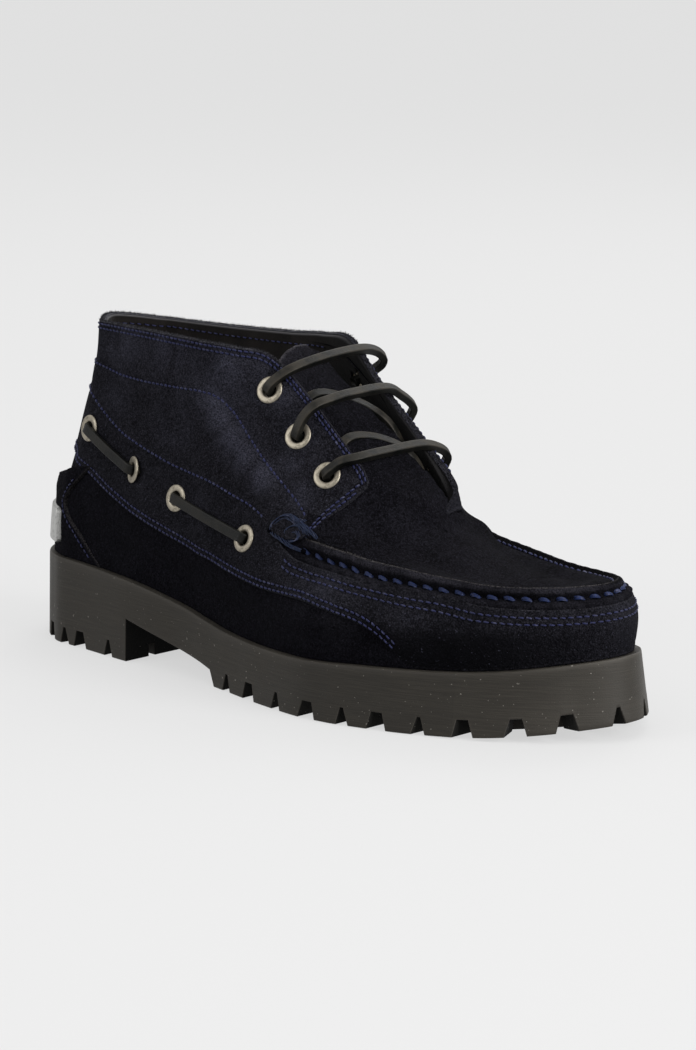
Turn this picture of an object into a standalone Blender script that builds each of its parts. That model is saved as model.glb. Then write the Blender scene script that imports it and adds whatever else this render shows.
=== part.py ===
"""Boat boot for the right foot: a moc-toe ankle boot on a one-piece lugged sole.

The boot points along +X, its inner (medial) side is +Y and up is +Z. The origin is on the floor
under the middle of the heel. The section tables are drawn in millimetres for a boot of the drawn
sizes, and the functions scale them to the driving dimensions.
"""
import math

import bmesh
import bpy
import numpy as np
from mathutils import Matrix, Vector

MM = 0.001

# --- The last -------------------------------------------------------------------------------------
# Driving dimensions (metres)
LENGTH = 0.297
BALL_WIDTH = 0.106
COLLAR_HEIGHT = 0.1305

# The sizes that the tables are drawn for (millimetres)
DRAWN_LENGTH = 297.0
DRAWN_BALL_WIDTH = 106.0
DRAWN_COLLAR_HEIGHT = 130.5

# Sections of the boot, from the back of the heel to the tip of the toe. Each is a rib that leaves
# the centre line at x, turned by angle from straight ahead. sole_lat and sole_med are the distances
# from the centre line to the edge of the sole on the outer and the inner side, at the floor. flare
# is how much narrower the sole is at its rim, rim_z. lean moves the top of the rib forward.
PLAN_COLUMNS = ("x", "angle", "lean", "rim_z", "sole_lat", "sole_med", "flare")
PLAN = {
    "heel_back": (0, 180, 10, 34.6, 36.0, 36.0, 0.6),
    "heel_150": (0, 150, 10, 34.6, 34.0, 34.2, 0.6),
    "heel_120": (0, 120, 10, 34.6, 32.6, 33.0, 0.6),
    "heel_side": (0, 90, 9, 34.4, 32.8, 32.8, 0.6),
    "breast": (36, 90, 4, 32.3, 37.9, 33.4, 0.8),
    "waist": (67, 90, 2, 27.6, 40.3, 34.0, 1.0),
    "shank": (84, 90, 1, 24.2, 43.1, 35.0, 1.2),
    "instep": (100, 90, 0, 22.0, 47.0, 37.5, 1.4),
    "throat": (122, 90, 0, 21.2, 52.8, 42.5, 1.5),
    "vamp": (146, 90, 0, 21.4, 57.3, 47.0, 1.6),
    "throat_end": (159, 90, 0, 21.8, 57.2, 48.2, 1.7),
    "ball": (168, 90, 0, 22.3, 56.1, 48.5, 1.8),
    "fore": (190, 90, 0, 23.0, 51.0, 46.0, 2.0),
    "toe_side": (212, 90, 0, 23.6, 43.4, 41.0, 2.4),
    "toe_60": (212, 60, 0, 24.0, 39.0, 42.0, 2.7),
    "toe_30": (212, 30, 0, 24.4, 41.2, 44.6, 3.0),
    "toe_tip": (212, 0, 0, 24.6, 48.2, 48.2, 3.0),
}

# The upper's lower half: distances from the centre line and heights at its bulge above the sole and
# at its middle, which in front is the moc seam.
LOWER_COLUMNS = ("bulge_lat", "bulge_med", "bulge_z", "mid_lat", "mid_med", "mid_z")
LOWER = {
    "heel_back": (31.5, 31.5, 54, 26.5, 26.5, 82.0),
    "heel_150": (29.6, 30.0, 54, 24.6, 25.0, 82.0),
    "heel_120": (28.8, 29.2, 54, 23.8, 24.2, 82.0),
    "heel_side": (30.4, 29.8, 54, 25.8, 25.0, 82.0),
    "breast": (36.0, 31.0, 50, 31.5, 28.0, 78.0),
    "waist": (39.0, 32.4, 46, 34.5, 29.5, 73.0),
    "shank": (42.0, 33.8, 43, 37.0, 30.8, 70.0),
    "instep": (45.8, 36.2, 40, 40.0, 32.2, 66.0),
    "throat": (51.4, 41.0, 38, 42.5, 34.5, 62.4),
    "vamp": (55.2, 45.2, 38, 40.5, 34.0, 60.8),
    "throat_end": (55.0, 46.2, 38, 40.0, 33.0, 60.2),
    "ball": (53.8, 46.4, 38, 39.0, 32.0, 59.4),
    "fore": (48.8, 43.6, 38, 35.8, 29.0, 57.8),
    "toe_side": (41.0, 38.4, 38, 30.5, 25.0, 56.4),
    "toe_60": (36.4, 38.0, 38, 28.5, 27.0, 55.2),
    "toe_30": (38.0, 39.6, 38, 29.5, 30.5, 54.8),
    "toe_tip": (42.4, 42.4, 38, 32.0, 32.0, 54.6),
}

# The upper's upper half: its high level, and its top, which is the collar, then the front edge of
# the eyestays, then the ridge over the toes.
UPPER_COLUMNS = ("high_lat", "high_med", "high_z", "top_lat", "top_med", "top_z_lat", "top_z_med")
UPPER = {
    "heel_back": (21.5, 21.5, 108, 19.0, 19.0, 130.5, 130.5),
    "heel_150": (19.8, 20.4, 108, 17.3, 18.0, 130.5, 129.5),
    "heel_120": (19.6, 20.0, 108, 17.6, 18.0, 130.5, 128.3),
    "heel_side": (22.0, 21.5, 108, 20.6, 20.0, 130.6, 127.6),
    "breast": (27.8, 25.5, 104, 25.4, 23.0, 130.6, 127.4),
    "waist": (30.2, 27.5, 101, 26.8, 24.5, 129.6, 128.0),
    "shank": (31.0, 28.0, 99, 25.4, 24.0, 128.8, 129.0),
    "instep": (31.0, 28.5, 97, 19.8, 18.8, 125.6, 128.0),
    "throat": (30.5, 28.0, 88, 19.2, 17.6, 109.5, 113.0),
    "vamp": (29.5, 26.5, 74, 19.0, 17.0, 89.0, 92.0),
    "throat_end": (26.0, 24.0, 67.5, 14.0, 15.5, 78.0, 78.0),
    "ball": (22.5, 20.0, 64.5, 0.0, 0.0, 69.0, 69.0),
    "fore": (19.0, 16.0, 61.0, 0.0, 0.0, 63.0, 63.0),
    "toe_side": (16.0, 13.5, 58.6, 0.0, 0.0, 59.6, 59.6),
    "toe_60": (15.0, 13.5, 57.8, 0.0, 0.0, 59.6, 59.6),
    "toe_30": (15.0, 14.5, 57.6, 0.0, 0.0, 59.6, 59.6),
    "toe_tip": (16.0, 16.0, 57.4, 0.0, 0.0, 59.6, 59.6),
}

STATIONS = list(PLAN)
TIP = len(STATIONS) - 1
ROUND = 2 * TIP
LEVELS = (0.0, 0.2, 0.5, 0.75, 1.0)
LEAN_SHARE = (0.0, 0.15, 0.5, 0.75, 1.0)
LEDGE = 3.2
FEATHER_GAP = 0.4
TOE_SPRING = 6.5
SPRING_START = 196.0
SPRING_END = 261.0
# Below this half width, the front edges of the upper's two sides blend into one round ridge
RIDGE_BLEND = 12.0
NORMAL_STEP = 0.01
TINY = 1e-12


def around(table, columns, lat, med=None):
    """One column as a list all round the boot: outer side from heel to toe, inner side back."""
    outer = [table[name][columns.index(lat)] for name in STATIONS]
    inner = [table[name][columns.index(med or lat)] for name in STATIONS]
    return np.array(outer + inner[-2:0:-1], float)


def station_angles():
    """The rib angles all round the boot, from -180 at the back of the heel through 0 at the toe."""
    outer = [-PLAN[name][PLAN_COLUMNS.index("angle")] for name in STATIONS]
    return np.array(outer + [-angle for angle in outer[-2:0:-1]], float)


def smooth_round(values, at, turn=0.0):
    """A smooth closed curve through values at whole numbers. turn is what one lap adds."""
    at = np.asarray(at, float)
    first = np.floor(at).astype(int)
    part = at - first
    count = len(values)

    def value(index):
        return values[index % count] + turn * (index // count)

    before, start, end, after = (value(first + step) for step in (-1, 0, 1, 2))
    start_slope = (end - before) / 2
    end_slope = (after - start) / 2
    return ((2 * part ** 3 - 3 * part ** 2 + 1) * start + (part ** 3 - 2 * part ** 2 + part) * start_slope
            + (3 * part ** 2 - 2 * part ** 3) * end + (part ** 3 - part ** 2) * end_slope)


def smooth_levels(values, level, flatten=0.0):
    """A smooth curve through the values at the five levels. flatten levels out its upper end."""
    knots = np.array(LEVELS)
    level = np.clip(level, 0.0, 1.0)
    step = np.diff(knots)
    rise = [(values[i + 1] - values[i]) / step[i] for i in range(4)]
    slopes = [rise[0]]
    for i in range(3):
        slopes.append((step[i + 1] * rise[i] + step[i] * rise[i + 1]) / (step[i] + step[i + 1]))
    slopes.append(rise[3] * (1.0 - flatten))
    result = np.zeros(np.broadcast(level, values[0]).shape)
    for i in range(4):
        part = (level - knots[i]) / step[i]
        inside = (part >= 0) & (part <= 1)
        curve = ((2 * part ** 3 - 3 * part ** 2 + 1) * values[i]
                 + (part ** 3 - 2 * part ** 2 + part) * step[i] * slopes[i]
                 + (3 * part ** 2 - 2 * part ** 3) * values[i + 1]
                 + (part ** 3 - part ** 2) * step[i] * slopes[i + 1])
        result = np.where(inside, curve, result)
    return result


def to_metres(x, y, z):
    """Points in the tables' millimetres, scaled to the driving dimensions."""
    return np.stack([np.asarray(x, float) * LENGTH / DRAWN_LENGTH,
                     np.asarray(y, float) * BALL_WIDTH / DRAWN_BALL_WIDTH,
                     np.asarray(z, float) * COLLAR_HEIGHT / DRAWN_COLLAR_HEIGHT], -1)


def spring(x):
    """How far the toe spring lifts the sole at x, in the tables' millimetres."""
    share = np.clip((x - SPRING_START) / (SPRING_END - SPRING_START), 0.0, None)
    return TOE_SPRING * share ** 2


def rib_x(at):
    """Where the rib leaves the centre line. The ribs round the toe all leave the same point."""
    return np.minimum(smooth_round(around(PLAN, PLAN_COLUMNS, "x"), at), PLAN["toe_tip"][0])


def sole_ring(at, inset=0.0):
    """Plan position of the sole's edge at the floor, moved in by inset."""
    x = rib_x(at)
    angle = np.radians(smooth_round(station_angles(), at, 360.0))
    radius = smooth_round(around(PLAN, PLAN_COLUMNS, "sole_lat", "sole_med"), at) - inset
    return x + radius * np.cos(angle), radius * np.sin(angle)


def rim_height(at):
    """Height of the sole's rim without the toe spring."""
    return smooth_round(around(PLAN, PLAN_COLUMNS, "rim_z"), at)


def flare(at):
    """How much the rim is inside the edge at the floor."""
    return smooth_round(around(PLAN, PLAN_COLUMNS, "flare"), at)


def upper_point(at, level):
    """The upper's outer surface: at goes round the boot by station, level from sole to top."""
    x = rib_x(at)
    angle = np.radians(smooth_round(station_angles(), at, 360.0))
    lean = smooth_round(around(PLAN, PLAN_COLUMNS, "lean"), at)
    feather = smooth_round(around(PLAN, PLAN_COLUMNS, "sole_lat", "sole_med"), at) - flare(at) - LEDGE
    radii = [feather]
    heights = [rim_height(at) + FEATHER_GAP]
    for table, columns, name in ((LOWER, LOWER_COLUMNS, "bulge"), (LOWER, LOWER_COLUMNS, "mid"),
                                 (UPPER, UPPER_COLUMNS, "high")):
        radii.append(smooth_round(around(table, columns, name + "_lat", name + "_med"), at))
        heights.append(smooth_round(around(table, columns, name + "_z"), at))
    radii.append(np.maximum(smooth_round(around(UPPER, UPPER_COLUMNS, "top_lat", "top_med"), at), 0.0))
    heights.append(smooth_round(around(UPPER, UPPER_COLUMNS, "top_z_lat", "top_z_med"), at))
    radius = smooth_levels(radii, level)
    height = smooth_levels(heights, level, np.clip(1.0 - radii[-1] / RIDGE_BLEND, 0.0, 1.0))
    forward = lean * smooth_levels([np.full(np.shape(at), share) for share in LEAN_SHARE], level)
    plan_x = x + forward + radius * np.cos(angle)
    return to_metres(plan_x, radius * np.sin(angle), height + spring(plan_x))


def upper_normal(at, level):
    """The outward unit normal of the upper's surface."""
    low = np.clip(np.asarray(level, float) - NORMAL_STEP, 0.0, 1.0)
    high = np.clip(np.asarray(level, float) + NORMAL_STEP, 0.0, 1.0)
    ahead = upper_point(np.asarray(at) + NORMAL_STEP, level)
    behind = upper_point(np.asarray(at) - NORMAL_STEP, level)
    normal = np.cross(ahead - behind, upper_point(at, high) - upper_point(at, low))
    return normal / np.maximum(np.linalg.norm(normal, axis=-1, keepdims=True), TINY)
# --- End of the last ------------------------------------------------------------------------------

# Walls and gaps (millimetres)
WALL = 2.2
GAP = 0.3
INSOLE_THICKNESS = 3.0
INSOLE_CLEARANCE = 0.7
TONGUE_THICKNESS = 2.4

# How finely the forms are divided
UPPER_POINTS = 80
UPPER_LEVELS = (0.0, 0.1, 0.2, 0.33, 0.44, 0.5, 0.6, 0.7, 0.8, 0.9, 1.0)
OUTSOLE_POINTS = 80
INSOLE_POINTS = 64
COUNTER_POINTS = (13, 8)
PLATE_POINTS = (17, 4)
TONGUE_SIDE_POINTS = 4
TONGUE_BRIDGE_POINTS = 9
EYELET_SIDES = 12
LACE_STEP = 5.4
SIDE_LACE_STEP = 3.6
ROUTE_FINENESS = 12
SHARP_ANGLE = 32

# The outsole's rim and tread (millimetres)
RIM_CHAMFER = 0.9
RIM_INSET = 0.6
LUG_DEPTH = 6.5
BREAST_X = 35.7
# The arch: the underside between the heel and the tread
ARCH_COLUMNS = ("x", "height")
ARCH = ((BREAST_X, 17.0), (52.0, 13.6), (66.0, 10.8), (82.0, 7.6), (88.5, 6.0), (91.8, 0.0))
ARCH_REACH = 80.0
# Notches in the tread's edge. The first list is cut on both sides, the second once round the toe.
NOTCH_COLUMNS = ("station", "wide")
NOTCHES = ((1.0, False), (1.95, True), (2.76, False), (3.16, True), (3.68, False), (7.03, False),
           (7.76, True), (8.5, False), (9.43, True), (11.03, False), (11.7, True), (12.42, False),
           (13.2, True))
TOE_NOTCHES = ((14.1, True), (15.0, True), (15.8, False), (16.5, False), (17.2, True), (18.0, False))
NOTCH_MOUTH = {True: 9.0, False: 6.2}
NOTCH_ROOT = {True: 4.6, False: 1.4}
NOTCH_LENGTH = 14.6
CHANNEL_INSET = 13.0
CHANNEL_WIDTH = 3.5
CHANNEL_DEPTH = 5.0
# Grooves across the middle of the front tread
CROSS_GROOVES_X = (112.0, 129.0, 146.0, 163.0, 180.0, 197.0, 214.0, 231.0)
CROSS_GROOVE_WIDTH = 3.5
CROSS_GROOVE_DEPTH = 4.6
# How far cutters run past the surface that they cut
CUT_PAST = 1.0
CUT_BELOW = 3.0
NOTCH_PAST = 4.0
HOLE_LENGTH = 7.0

# Eyelets: their places on the upper. The inner side's throat eyelets are a little further forward.
EYELET_COLUMNS = ("station", "level")
THROAT_EYELETS = ((7.12, 0.904), (7.88, 0.846), (8.53, 0.815))
THROAT_INNER = ((24.70, 0.904), (23.90, 0.846), (23.15, 0.815))
SIDE_EYELETS = ((2.92, 0.554), (3.92, 0.474), (4.79, 0.443), (7.33, 0.448))
# The eyelet's section, down its outer side and up its hole (millimetres)
EYELET_PROFILE_COLUMNS = ("radius", "height")
EYELET_PROFILE = ((4.0, 0.8), (5.4, 0.0), (3.4, 0.0), (3.4, -2.7), (3.0, -2.7), (3.0, 0.5))
EYELET_STAND = 0.4
HOLE_RADIUS = 3.9

# Laces (millimetres)
LACE_RADIUS = 1.5
LACE_STRAIGHT = 2.7
LACE_DEPTH = 4.6
SIDE_LACE_STRAIGHT = 2.6
SIDE_LACE_STAND = 2.9
SIDE_LACE_SHARES = (0.25, 0.5, 0.75)
# Each bar across the throat, from above the outer eyelet to above the inner one
ROUTE_COLUMNS = ("x", "y", "z")
BARS = (
    ((105.2, -24.8, 118.2), (109.0, -18.8, 122.4), (110.5, -2.4, 124.8), (111.0, 15.6, 125.8),
     (111.5, 24.7, 124.7), (112.0, 30.2, 121.4), (111.0, 31.0, 118.8), (108.6, 28.6, 116.4)),
    ((122.0, -26.6, 105.5), (125.5, -23.7, 110.2), (127.0, -16.0, 112.1), (128.0, 1.0, 113.4),
     (128.0, 12.7, 113.0), (128.5, 21.5, 109.7), (129.0, 29.0, 104.2), (127.0, 29.0, 100.0)),
    ((138.5, -27.2, 89.6), (141.2, -25.9, 92.0), (144.5, -20.5, 92.8), (146.0, -6.0, 93.4),
     (147.0, 11.4, 93.6), (147.5, 22.2, 91.3), (148.0, 27.4, 87.6), (146.0, 28.2, 83.6)),
)
# Each hidden run: its way under the inner eyestay as station and level, on over the tongue, and under
# the outer eyestay to the next eyelet
DIAGONALS = {
    3: (((23.30, 0.93),), ((141.9, 9.5, 93.4), (138.6, 3.7, 96.5), (136.1, -2.0, 98.6), (134.6, -8.0, 100.0)),
        ((8.40, 0.985), (8.12, 0.93))),
    2: (((24.05, 0.94),), ((131.0, 12.5, 102.8), (126.3, 8.6, 106.5), (122.3, 4.5, 109.5),
                           (118.4, -2.4, 112.6), (116.2, -9.0, 114.0)), ((7.75, 0.985), (7.42, 0.95))),
}

# The tongue: the stations that it runs through, from its foot under the vamp to its top
TONGUE_STATIONS = (11.6, 11.0, 10.4, 9.8, 9.2, 8.6, 8.0, 7.4, 6.9, 6.5)
TONGUE_SIDE_LEVELS = (0.84, 0.955)
TONGUE_DEPTH = 7.6
# Height of the tongue's middle along the boot
TONGUE_HEIGHT_COLUMNS = ("x", "z")
TONGUE_HEIGHTS = ((85.0, 132.0), (92.0, 127.0), (100.0, 122.0), (111.0, 114.0), (122.0, 105.5),
                  (134.0, 96.0), (146.0, 85.7), (153.0, 79.0), (159.0, 72.7), (168.0, 62.1))

# The heel counter, waisted: its half width in stations at levels up the back
COUNTER_COLUMNS = ("level", "half_width")
COUNTER = ((0.02, 3.32), (0.06, 3.18), (0.12, 2.95), (0.19, 2.5), (0.24, 2.26), (0.30, 2.6), (0.39, 2.95))
# Its top edge dips towards the back
COUNTER_DIP = 0.075
COUNTER_DIP_START = 0.24
COUNTER_STAND = 0.8
COUNTER_THICKNESS = 2.0
PLATE_THICKNESS = 1.4
PLATE_STATIONS = 2.35
PLATE_LEVELS = (0.05, 0.19)

MATERIAL_COLUMNS = ("color", "roughness", "metallic")
MATERIALS = {
    "rubber": ((0.042, 0.037, 0.033), 0.6, 0.0),
    "suede": ((0.006, 0.007, 0.018), 0.95, 0.0),
    "lining": ((0.010, 0.010, 0.012), 0.9, 0.0),
    "metal": ((0.62, 0.58, 0.48), 0.35, 1.0),
    "lace_leather": ((0.018, 0.019, 0.018), 0.55, 0.0),
}
WELD = 0.00002


def clear_scene():
    """Removes what the opened file holds."""
    for item in list(bpy.data.objects):
        bpy.data.objects.remove(item, do_unlink=True)


def new_collection(name):
    """A collection linked to the scene."""
    collection = bpy.data.collections.new(name)
    bpy.context.scene.collection.children.link(collection)
    return collection


def new_material(name):
    """A Principled material from its row of the table."""
    color, roughness, metallic = MATERIALS[name]
    material = bpy.data.materials.new(name)
    material.use_nodes = True
    shader = material.node_tree.nodes["Principled BSDF"]
    shader.inputs["Base Color"].default_value = (*color, 1.0)
    shader.inputs["Roughness"].default_value = roughness
    shader.inputs["Metallic"].default_value = metallic
    return material


def mesh_object(name, vertices, faces, material, collection, closed=True):
    """An object from vertices and faces, with doubles merged. A sheet keeps its faces' own side."""
    mesh = bpy.data.meshes.new(name)
    mesh.from_pydata([tuple(map(float, vertex)) for vertex in vertices], [], faces)
    work = bmesh.new()
    work.from_mesh(mesh)
    bmesh.ops.remove_doubles(work, verts=work.verts, dist=WELD)
    bmesh.ops.dissolve_degenerate(work, edges=work.edges, dist=WELD / 2)
    if closed:
        bmesh.ops.recalc_face_normals(work, faces=work.faces)
    work.to_mesh(mesh)
    work.free()
    mesh.materials.append(material)
    thing = bpy.data.objects.new(name, mesh)
    collection.objects.link(thing)
    return thing


def bmesh_object(name, work, collection):
    """An object from a bmesh, which is freed."""
    mesh = bpy.data.meshes.new(name)
    work.to_mesh(mesh)
    work.free()
    thing = bpy.data.objects.new(name, mesh)
    collection.objects.link(thing)
    return thing


def ring_faces(rings, count):
    """Quads between rings of count points each."""
    faces = []
    for row in range(rings - 1):
        for i in range(count):
            after = (i + 1) % count
            faces.append((row * count + i, row * count + after,
                          (row + 1) * count + after, (row + 1) * count + i))
    return faces


def ladder_faces(start, count):
    """Faces that close a ring by rungs from its outer side to its inner side."""
    half = count // 2
    faces = []
    for i in range(half):
        corners = [start + i, start + i + 1, start + (count - i - 1) % count, start + (count - i) % count]
        faces.append(tuple(dict.fromkeys(corners)))
    return faces


def closed_loft(name, rings, material, collection):
    """A solid through rings of points, closed by rungs at both ends."""
    count = len(rings[0])
    faces = ring_faces(len(rings), count)
    faces += ladder_faces(0, count)
    faces += ladder_faces((len(rings) - 1) * count, count)
    return mesh_object(name, np.concatenate(rings), faces, material, collection)


def grid_object(name, grid, material, collection):
    """An open sheet from rows of points."""
    rows, columns = grid.shape[:2]
    faces = []
    for row in range(rows - 1):
        for i in range(columns - 1):
            faces.append((row * columns + i, row * columns + i + 1,
                          (row + 1) * columns + i + 1, (row + 1) * columns + i))
    return mesh_object(name, grid.reshape(-1, 3), faces, material, collection, closed=False)


def add_solidify(thing, thickness):
    """Gives a sheet its thickness, inward."""
    modifier = thing.modifiers.new("Solidify", "SOLIDIFY")
    modifier.thickness = thickness
    modifier.offset = -1.0


def subtract(thing, cutter):
    """Cuts a cutter from an object."""
    modifier = thing.modifiers.new("Cut " + cutter.name, "BOOLEAN")
    modifier.operation = "DIFFERENCE"
    modifier.solver = "EXACT"
    modifier.object = cutter


def as_cutter(thing):
    """Hides a cutter from renders."""
    thing.hide_render = True
    thing.display_type = "WIRE"
    return thing


def join_cutters(name, parts, cutters):
    """Joins cutters that stand apart into one object."""
    work = bmesh.new()
    for part in parts:
        work.from_mesh(part.data)
        bpy.data.objects.remove(part, do_unlink=True)
    return as_cutter(bmesh_object(name, work, cutters))


def prism_cutter(name, outline, side, along, origin, reach, cutters):
    """A prism: an outline of (side, height) pairs in metres, drawn along one axis over a reach."""
    side = Vector(side)
    along = Vector(along)
    work = bmesh.new()
    corners = []
    for width, height in outline:
        corners.append(work.verts.new(Vector(origin) + side * width + Vector((0.0, 0.0, height))
                                      + along * reach[0]))
    face = work.faces.new(corners)
    drawn = bmesh.ops.extrude_face_region(work, geom=[face])["geom"]
    moved = [item for item in drawn if isinstance(item, bmesh.types.BMVert)]
    bmesh.ops.translate(work, verts=moved, vec=along * (reach[1] - reach[0]))
    bmesh.ops.recalc_face_normals(work, faces=work.faces)
    return as_cutter(bmesh_object(name, work, cutters))


def ring_points(count):
    """Station values for count points all round the boot, one of them at the tip."""
    return np.arange(count) * ROUND / count


def place_and_axis(station, level):
    """A point of the upper's outer surface and its outward normal, as vectors."""
    at = np.array([station])
    level = np.array([level])
    return Vector(upper_point(at, level)[0]), Vector(upper_normal(at, level)[0])


# --- Outsole --------------------------------------------------------------------------------------
def sole_level(at, inset, height):
    """A ring of the sole: its plan edge moved in by inset, at a height above the floor line."""
    x, y = sole_ring(at, inset)
    return to_metres(x, y, height + spring(x))


def notch_cutter(at, wide, cutters):
    """A notch in from the tread's edge, narrower at its root."""
    step = 0.02
    x, y = sole_ring(np.array([at, at + step]))
    along = Vector((x[1] - x[0], y[1] - y[0], 0.0)).normalized()
    inward = Vector((-along.y, along.x, 0.0))
    lift = float(spring(x[0]))
    mouth = NOTCH_MOUTH[wide] / 2
    root = NOTCH_ROOT[wide] / 2
    outline = [(-mouth, -CUT_PAST), (mouth, -CUT_PAST), (root, LUG_DEPTH), (-root, LUG_DEPTH)]
    outline = [(width * MM, (height + lift) * MM) for width, height in outline]
    return prism_cutter("notch", outline, along, inward, (x[0] * MM, y[0] * MM, 0.0),
                        (-NOTCH_PAST * MM, NOTCH_LENGTH * MM), cutters)


def groove_reach(x):
    """Where a cross groove starts and ends: in the middle of the channel on each side."""
    at = np.linspace(3.0, ROUND - 3.0, 721)
    plan_x, plan_y = sole_ring(at, CHANNEL_INSET + CHANNEL_WIDTH / 2)
    outer = plan_y[at < TIP][np.argmin(np.abs(plan_x[at < TIP] - x))]
    inner = plan_y[at > TIP][np.argmin(np.abs(plan_x[at > TIP] - x))]
    return outer * MM, inner * MM


def cut_arch(outsole, cutters):
    """Cuts the arch between the heel and the tread."""
    arch = [(BREAST_X, -CUT_BELOW)] + list(ARCH) + [(ARCH[-1][0], -CUT_BELOW)]
    arch = [(x * MM, z * MM) for x, z in arch]
    subtract(outsole, prism_cutter("arch_cutter", arch, (1, 0, 0), (0, 1, 0), (0, 0, 0),
                                   (-ARCH_REACH * MM, ARCH_REACH * MM), cutters))


def cut_notches(outsole, cutters):
    """Cuts the notches that leave the lugs along the tread's edge, the wide ones and then the narrow."""
    stations = list(NOTCHES) + [(ROUND - station, wide) for station, wide in NOTCHES] + list(TOE_NOTCHES)
    for kind, name in ((True, "wide_notch_cutter"), (False, "narrow_notch_cutter")):
        notches = [notch_cutter(station, wide, cutters) for station, wide in stations if wide == kind]
        subtract(outsole, join_cutters(name, notches, cutters))


def cut_channel(outsole, at, material, cutters):
    """Cuts the channel that runs inside the lugs all round."""
    inner = CHANNEL_INSET + CHANNEL_WIDTH
    corners = ((CHANNEL_INSET, -CUT_BELOW), (inner, -CUT_BELOW), (inner, CHANNEL_DEPTH),
               (CHANNEL_INSET, CHANNEL_DEPTH), (CHANNEL_INSET, -CUT_BELOW))
    rings = [sole_level(at, inset, height) for inset, height in corners]
    channel = mesh_object("channel_cutter", np.concatenate(rings), ring_faces(len(rings), len(at)),
                          material, cutters)
    subtract(outsole, as_cutter(channel))


def cut_grooves(outsole, cutters):
    """Cuts the grooves across the middle of the front tread."""
    grooves = []
    width = CROSS_GROOVE_WIDTH / 2 * MM
    low = -CUT_BELOW * MM
    for x in CROSS_GROOVES_X:
        top = (CROSS_GROOVE_DEPTH + float(spring(x))) * MM
        outline = [(-width, low), (width, low), (width, top), (-width, top)]
        grooves.append(prism_cutter("groove", outline, (1, 0, 0), (0, 1, 0), (x * MM, 0, 0),
                                    groove_reach(x), cutters))
    subtract(outsole, join_cutters("groove_cutter", grooves, cutters))


def make_outsole(material, collection, cutters):
    """The rubber unit: heel block, arch, notched tread and a rim that the upper stands on."""
    at = ring_points(OUTSOLE_POINTS)
    rings = [sole_level(at, 0.0, np.zeros(at.shape)),
             sole_level(at, flare(at), rim_height(at) - RIM_CHAMFER),
             sole_level(at, flare(at) + RIM_INSET, rim_height(at))]
    outsole = closed_loft("outsole", rings, material, collection)
    cut_arch(outsole, cutters)
    cut_notches(outsole, cutters)
    cut_channel(outsole, at, material, cutters)
    cut_grooves(outsole, cutters)
    outsole.data.shade_smooth()
    outsole.data.set_sharp_from_angle(angle=math.radians(SHARP_ANGLE))


# --- Upper ----------------------------------------------------------------------------------------
def inside_point(at, level, depth):
    """A point below the upper's outer surface by depth in millimetres."""
    return upper_point(at, level) - upper_normal(at, level) * depth * MM


def eyelet_frames():
    """Place and outward axis of every eyelet, by name."""
    frames = {}
    side_inner = [(ROUND - station, level) for station, level in SIDE_EYELETS]
    for name, table in (("throat_eyelet_lateral", THROAT_EYELETS), ("throat_eyelet_medial", THROAT_INNER),
                        ("side_eyelet_lateral", SIDE_EYELETS), ("side_eyelet_medial", side_inner)):
        for number, (station, level) in enumerate(table, 1):
            frames[f"{name}_{number}"] = place_and_axis(station, level)
    return frames


def hole_cutter(frames, cutters):
    """One cylinder across the wall at each eyelet."""
    parts = []
    for name, (place, axis) in frames.items():
        work = bmesh.new()
        turn = axis.to_track_quat("Z", "Y").to_matrix().to_4x4()
        bmesh.ops.create_cone(work, cap_ends=True, segments=EYELET_SIDES, radius1=HOLE_RADIUS * MM,
                              radius2=HOLE_RADIUS * MM, depth=HOLE_LENGTH * MM,
                              matrix=Matrix.Translation(place - axis * WALL / 2 * MM) @ turn)
        parts.append(bmesh_object(name + "_hole", work, cutters))
    return join_cutters("hole_cutter", parts, cutters)


def make_upper(frames, material, collection, cutters):
    """The hollow upper: open underneath, at the collar and down the throat."""
    at = ring_points(UPPER_POINTS)
    rings = [upper_point(at, np.full(at.shape, level)) for level in UPPER_LEVELS]
    upper = mesh_object("upper", np.concatenate(rings), ring_faces(len(rings), len(at)),
                        material, collection, closed=False)
    add_solidify(upper, WALL * MM)
    subtract(upper, hole_cutter(frames, cutters))
    upper.data.shade_smooth()


def make_insole(material, collection):
    """The insole, inside the upper's wall, on the outsole."""
    at = ring_points(INSOLE_POINTS)
    inset = flare(at) + LEDGE + WALL + INSOLE_CLEARANCE
    low = rim_height(at) + GAP
    rings = [sole_level(at, inset, low), sole_level(at, inset, low + INSOLE_THICKNESS)]
    insole = closed_loft("insole", rings, material, collection)
    insole.data.shade_smooth()
    insole.data.set_sharp_from_angle(angle=math.radians(SHARP_ANGLE))


def make_tongue(material, collection):
    """The tongue: under both eyestays and across the throat, crowned in the middle."""
    rows = []
    share = np.linspace(0.0, 1.0, TONGUE_BRIDGE_POINTS)[1:-1]
    levels = np.linspace(*TONGUE_SIDE_LEVELS, TONGUE_SIDE_POINTS)
    plan_x, heights = zip(*TONGUE_HEIGHTS)
    for station in TONGUE_STATIONS:
        outer = inside_point(np.full(len(levels), station), levels, TONGUE_DEPTH)
        inner = inside_point(np.full(len(levels), ROUND - station), levels[::-1], TONGUE_DEPTH)
        bridge = outer[-1] + (inner[0] - outer[-1]) * share[:, None]
        middle = (outer[-1] + inner[0]) / 2
        crown = max(np.interp(middle[0] / MM, plan_x, heights) * MM - middle[2], 0.0)
        bridge[:, 2] += crown * np.sin(np.pi * share)
        rows.append(np.concatenate([outer, bridge, inner]))
    tongue = grid_object("tongue", np.array(rows), material, collection)
    add_solidify(tongue, TONGUE_THICKNESS * MM)
    tongue.data.shade_smooth()


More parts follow.
